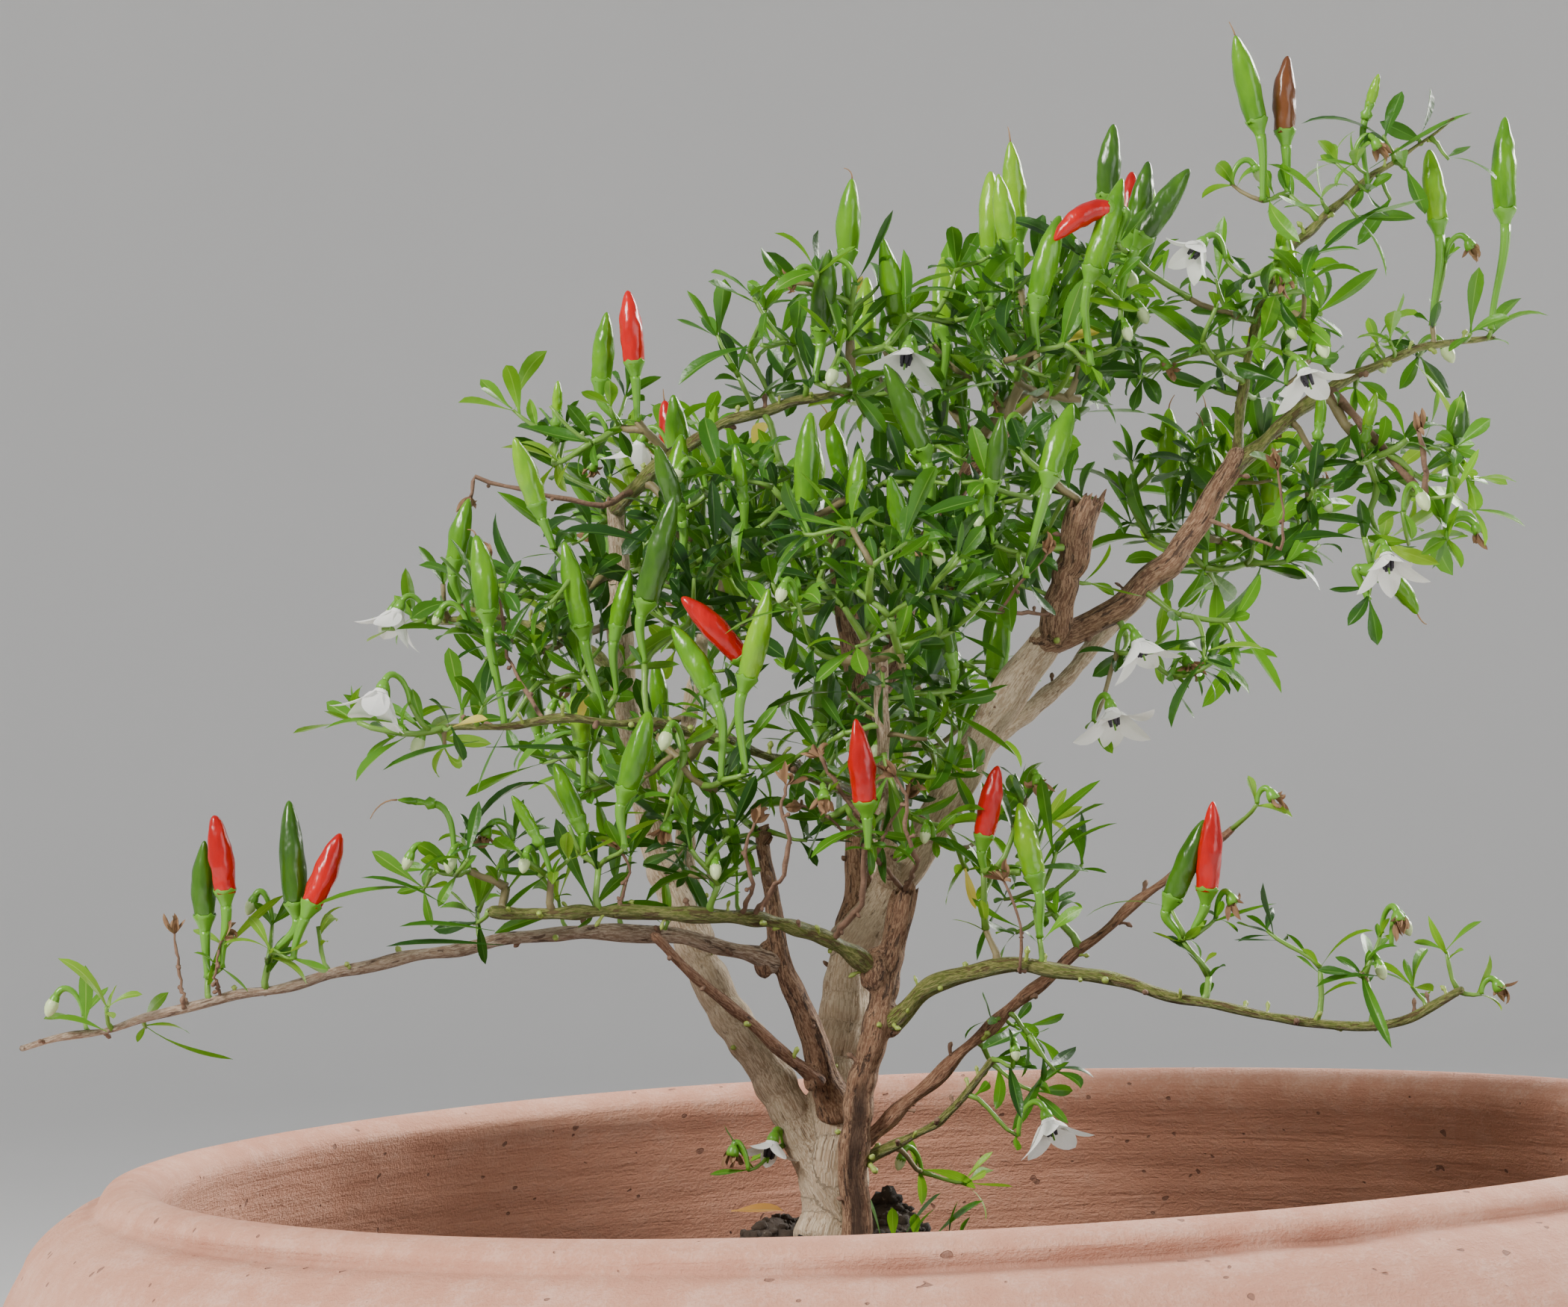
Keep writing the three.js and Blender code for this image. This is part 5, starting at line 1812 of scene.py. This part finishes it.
def hook(foot, head, way):
    """The hooked stalk of a nodding flower, arriving at its head from above."""
    reach = max(np.linalg.norm(head - foot), 5 * MM)
    line = swung_line(foot, np.array([0, 0, 1.0]) * reach * 1.9, head, unit(way) * reach * 1.7, 14)
    stalk_heap.grid(bar_rows(line, np.linspace(0.6, 0.95, 14) * MM, 8), ring=True, caps=(True, True))


def small_cup(head, way, reach):
    """The green cup that holds a flower or a bud."""
    way = unit(way)
    levels = np.array([-0.8, 0.2, 1.2, 2.2]) * MM
    radii = np.array([0.60, 1.05, 1.25, 1.25]) * reach
    stalk_heap.grid(rings_across(head + levels[:, None] * way, way, radii, 12), ring=True, caps=(True, True))


def open_flower(head, way, roll, reach, spread, back):
    """A nodding star: five broad pointed petals, joined in a short tube and bent back at their
    tips. Spread is the tangent of the angle that they leave the tube at."""
    way = unit(way)
    spare = unit(np.cross(way, [0.1, 0.2, 0.97]))
    other = np.cross(way, spare)
    start = roll.uniform(0, 2 * math.pi)
    tube = np.array([1.2, 2.2, 3.2]) * MM
    throat = rings_across(head + tube[:, None] * way, way, np.array([1.2, 1.7, 2.2]) * MM, 15)
    petal_heap.grid(throat, ring=True)
    for i in range(PETALS):
        turn = start + i * 2 * math.pi / PETALS + roll.normal(0, 0.07)
        out = math.cos(turn) * spare + math.sin(turn) * other
        aim = unit(out * spread * roll.uniform(0.8, 1.2) + way)
        long = reach * MM * roll.uniform(0.92, 1.08)
        rows = leaf_rows(head + way * 2.2 * MM + out * 1.2 * MM, aim, way, long,
                         reach * 0.54 * MM, back * roll.uniform(0.4, 1.6), roll.uniform(0.12, 0.35),
                         roll.normal(0, 0.25), -0.55)
        petal_heap.grid(rows)
        side = math.cos(turn + 0.63) * spare + math.sin(turn + 0.63) * other
        line = np.array([head + side * 0.8 * MM + way * 2.4 * MM, head + side * 1.2 * MM + way * 4.4 * MM,
                         head + side * 1.1 * MM + way * 6.6 * MM])
        anther_heap.grid(rings_across(line, way, np.array([0.25, 0.62, 0.40]) * MM, 6), ring=True,
                         caps=(True, True))
    pistil = np.array([head + way * 2 * MM, head + way * 8 * MM])
    stalk_heap.grid(rings_across(pistil, way, np.array([0.4, 0.25]) * MM, 6), ring=True, caps=(True, True))


def bud(head, way, size):
    """A pale oval bud on its cup."""
    way = unit(way)
    levels = np.array([0.6, 1.4, 2.4, 3.6, 4.7, 5.4]) * MM * size
    reach = np.array([0.9, 1.4, 1.65, 1.5, 0.95, 0.25]) * MM * size
    bud_heap.grid(rings_across(head + levels[:, None] * way, way, reach, 10), ring=True, caps=(True, True))


def spent_flower(head, way, roll):
    """A crumpled brown remnant."""
    way = unit(way)
    spare = unit(np.cross(way, [0.3, 0.2, 0.9]))
    other = np.cross(way, spare)
    for i in range(7):
        turn = roll.uniform(0, 2 * math.pi)
        out = math.cos(turn) * spare + math.sin(turn) * other
        rows = leaf_rows(head + way * 0.8 * MM, unit(way + out * roll.uniform(0.2, 0.9)), out,
                         roll.uniform(3.5, 6.5) * MM, 2.4 * MM, roll.normal(0, 1.4), 0.7,
                         roll.normal(0, 1.5), -0.3)
        dry_heap.grid(rows)

# %% [markdown]
# The flowers of the list come first, then spent ones at the tips of the dead twigs, and then
# buds and dried flowers by rule at one node in twelve. Open ones by rule are only at the back.

# %% Set the flowers
def set_bloom(foot, head, way, kind, roll, size=1.0):
    hook(foot, head, way)
    small_cup(head, way, 1.35 * MM if kind != BUD else 1.1 * MM)
    if kind == OPEN:
        open_flower(head, way, roll, roll.uniform(11.4, 13.2) * size, roll.uniform(0.6, 1.15),
                    roll.uniform(0.4, 0.9))
    elif kind == BUD:
        bud(head, way, roll.uniform(0.8, 1.15))
    else:
        spent_flower(head, way, roll)


flower_roll = np.random.default_rng(71)
for one in blooms:
    look = unit(one["away"] * one["tilt"] + np.array([0, 0, -1.0]) + flower_roll.normal(0, 0.08, 3))
    set_bloom(one["foot"], one["spot"], look, one["kind"], flower_roll, one["size"])
for tip, way in dead_tips:
    spent_flower(tip - way * 1.0 * MM, way, flower_roll)

OPEN_BEHIND = 48 * MM
KINDS = [BUD] * 9 + [DRIED] * 5 + [OPEN] * 4
for mass in MASSES:
    chosen = flower_roll.permutation(len(spots_of[mass]))[:max(1, len(spots_of[mass]) // 12)]
    for index in chosen:
        foot = spots_of[mass][index]
        outward = unit((foot - crown_centre) * np.array([1, 1, 0.2]) + flower_roll.normal(0, 0.02, 3))
        outward[2] = 0.0
        head = foot + outward * flower_roll.uniform(4, 8) * MM
        head = head + np.array([0, 0, flower_roll.uniform(3, 8)]) * MM
        look = unit(outward * 0.5 + np.array([0, 0, -1.0]))
        choices = KINDS if foot[1] > OPEN_BEHIND else KINDS[:-4]
        set_bloom(foot, head, look, choices[flower_roll.integers(len(choices))], flower_roll)
print("petals:", petal_heap.things, "buds:", bud_heap.things)

# %% [markdown]
# Petals are matt white and thin, anthers dark, and buds greenish white. What has dried up is a
# mottled brown.

# %% Flower finishes
petal_finish = Finish("white_petal", Base_Color=(0.97, 0.97, 0.93), Roughness=0.5)
petal_finish.bump(petal_finish.noise(petal_finish.place(), 800.0, 2.0), 0.0003, 0.3)
petal_finish.let_light_through((0.96, 0.97, 0.92), 0.16)
anther_finish = Finish("anther", Base_Color=(0.045, 0.040, 0.055), Roughness=0.6)
anther_finish.bump(anther_finish.noise(anther_finish.place(), 2200.0, 2.0), 0.0003, 0.5)
bud_finish = Finish("bud", Base_Color=(0.56, 0.68, 0.34), Roughness=0.38)
bud_finish.bump(bud_finish.noise(bud_finish.place(), 900.0, 2.0), 0.0003, 0.4)
dry_finish = Finish("dry_brown", Roughness=0.8)
dry_noise = dry_finish.noise(dry_finish.place(), 260.0, 4.0)
dry_finish.set(Base_Color=dry_finish.blend(dry_noise, (0.10, 0.045, 0.022), (0.42, 0.25, 0.12)))
petal_heap.make("petals", "foliage", [petal_finish])
anther_heap.make("anthers", "foliage", [anther_finish])
bud_heap.make("buds", "foliage", [bud_finish])
dry_heap.make("spent_flowers", "foliage", [dry_finish])
thread_heap.make("dry_threads", "foliage", [dry_finish])
stalk_heap.make("stalks_and_cups", "foliage", [stalk_finish])

# %% [markdown]
# ## The box of the result
# The box round everything shown, the backdrop left out, is printed. The visual model has
# to fill the box of the imported model, no more and no less than the allowance.

# %% Sizes and finish
low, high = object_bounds()
print("visual box:", [round(v, 3) for v in low], [round(v, 3) for v in high])
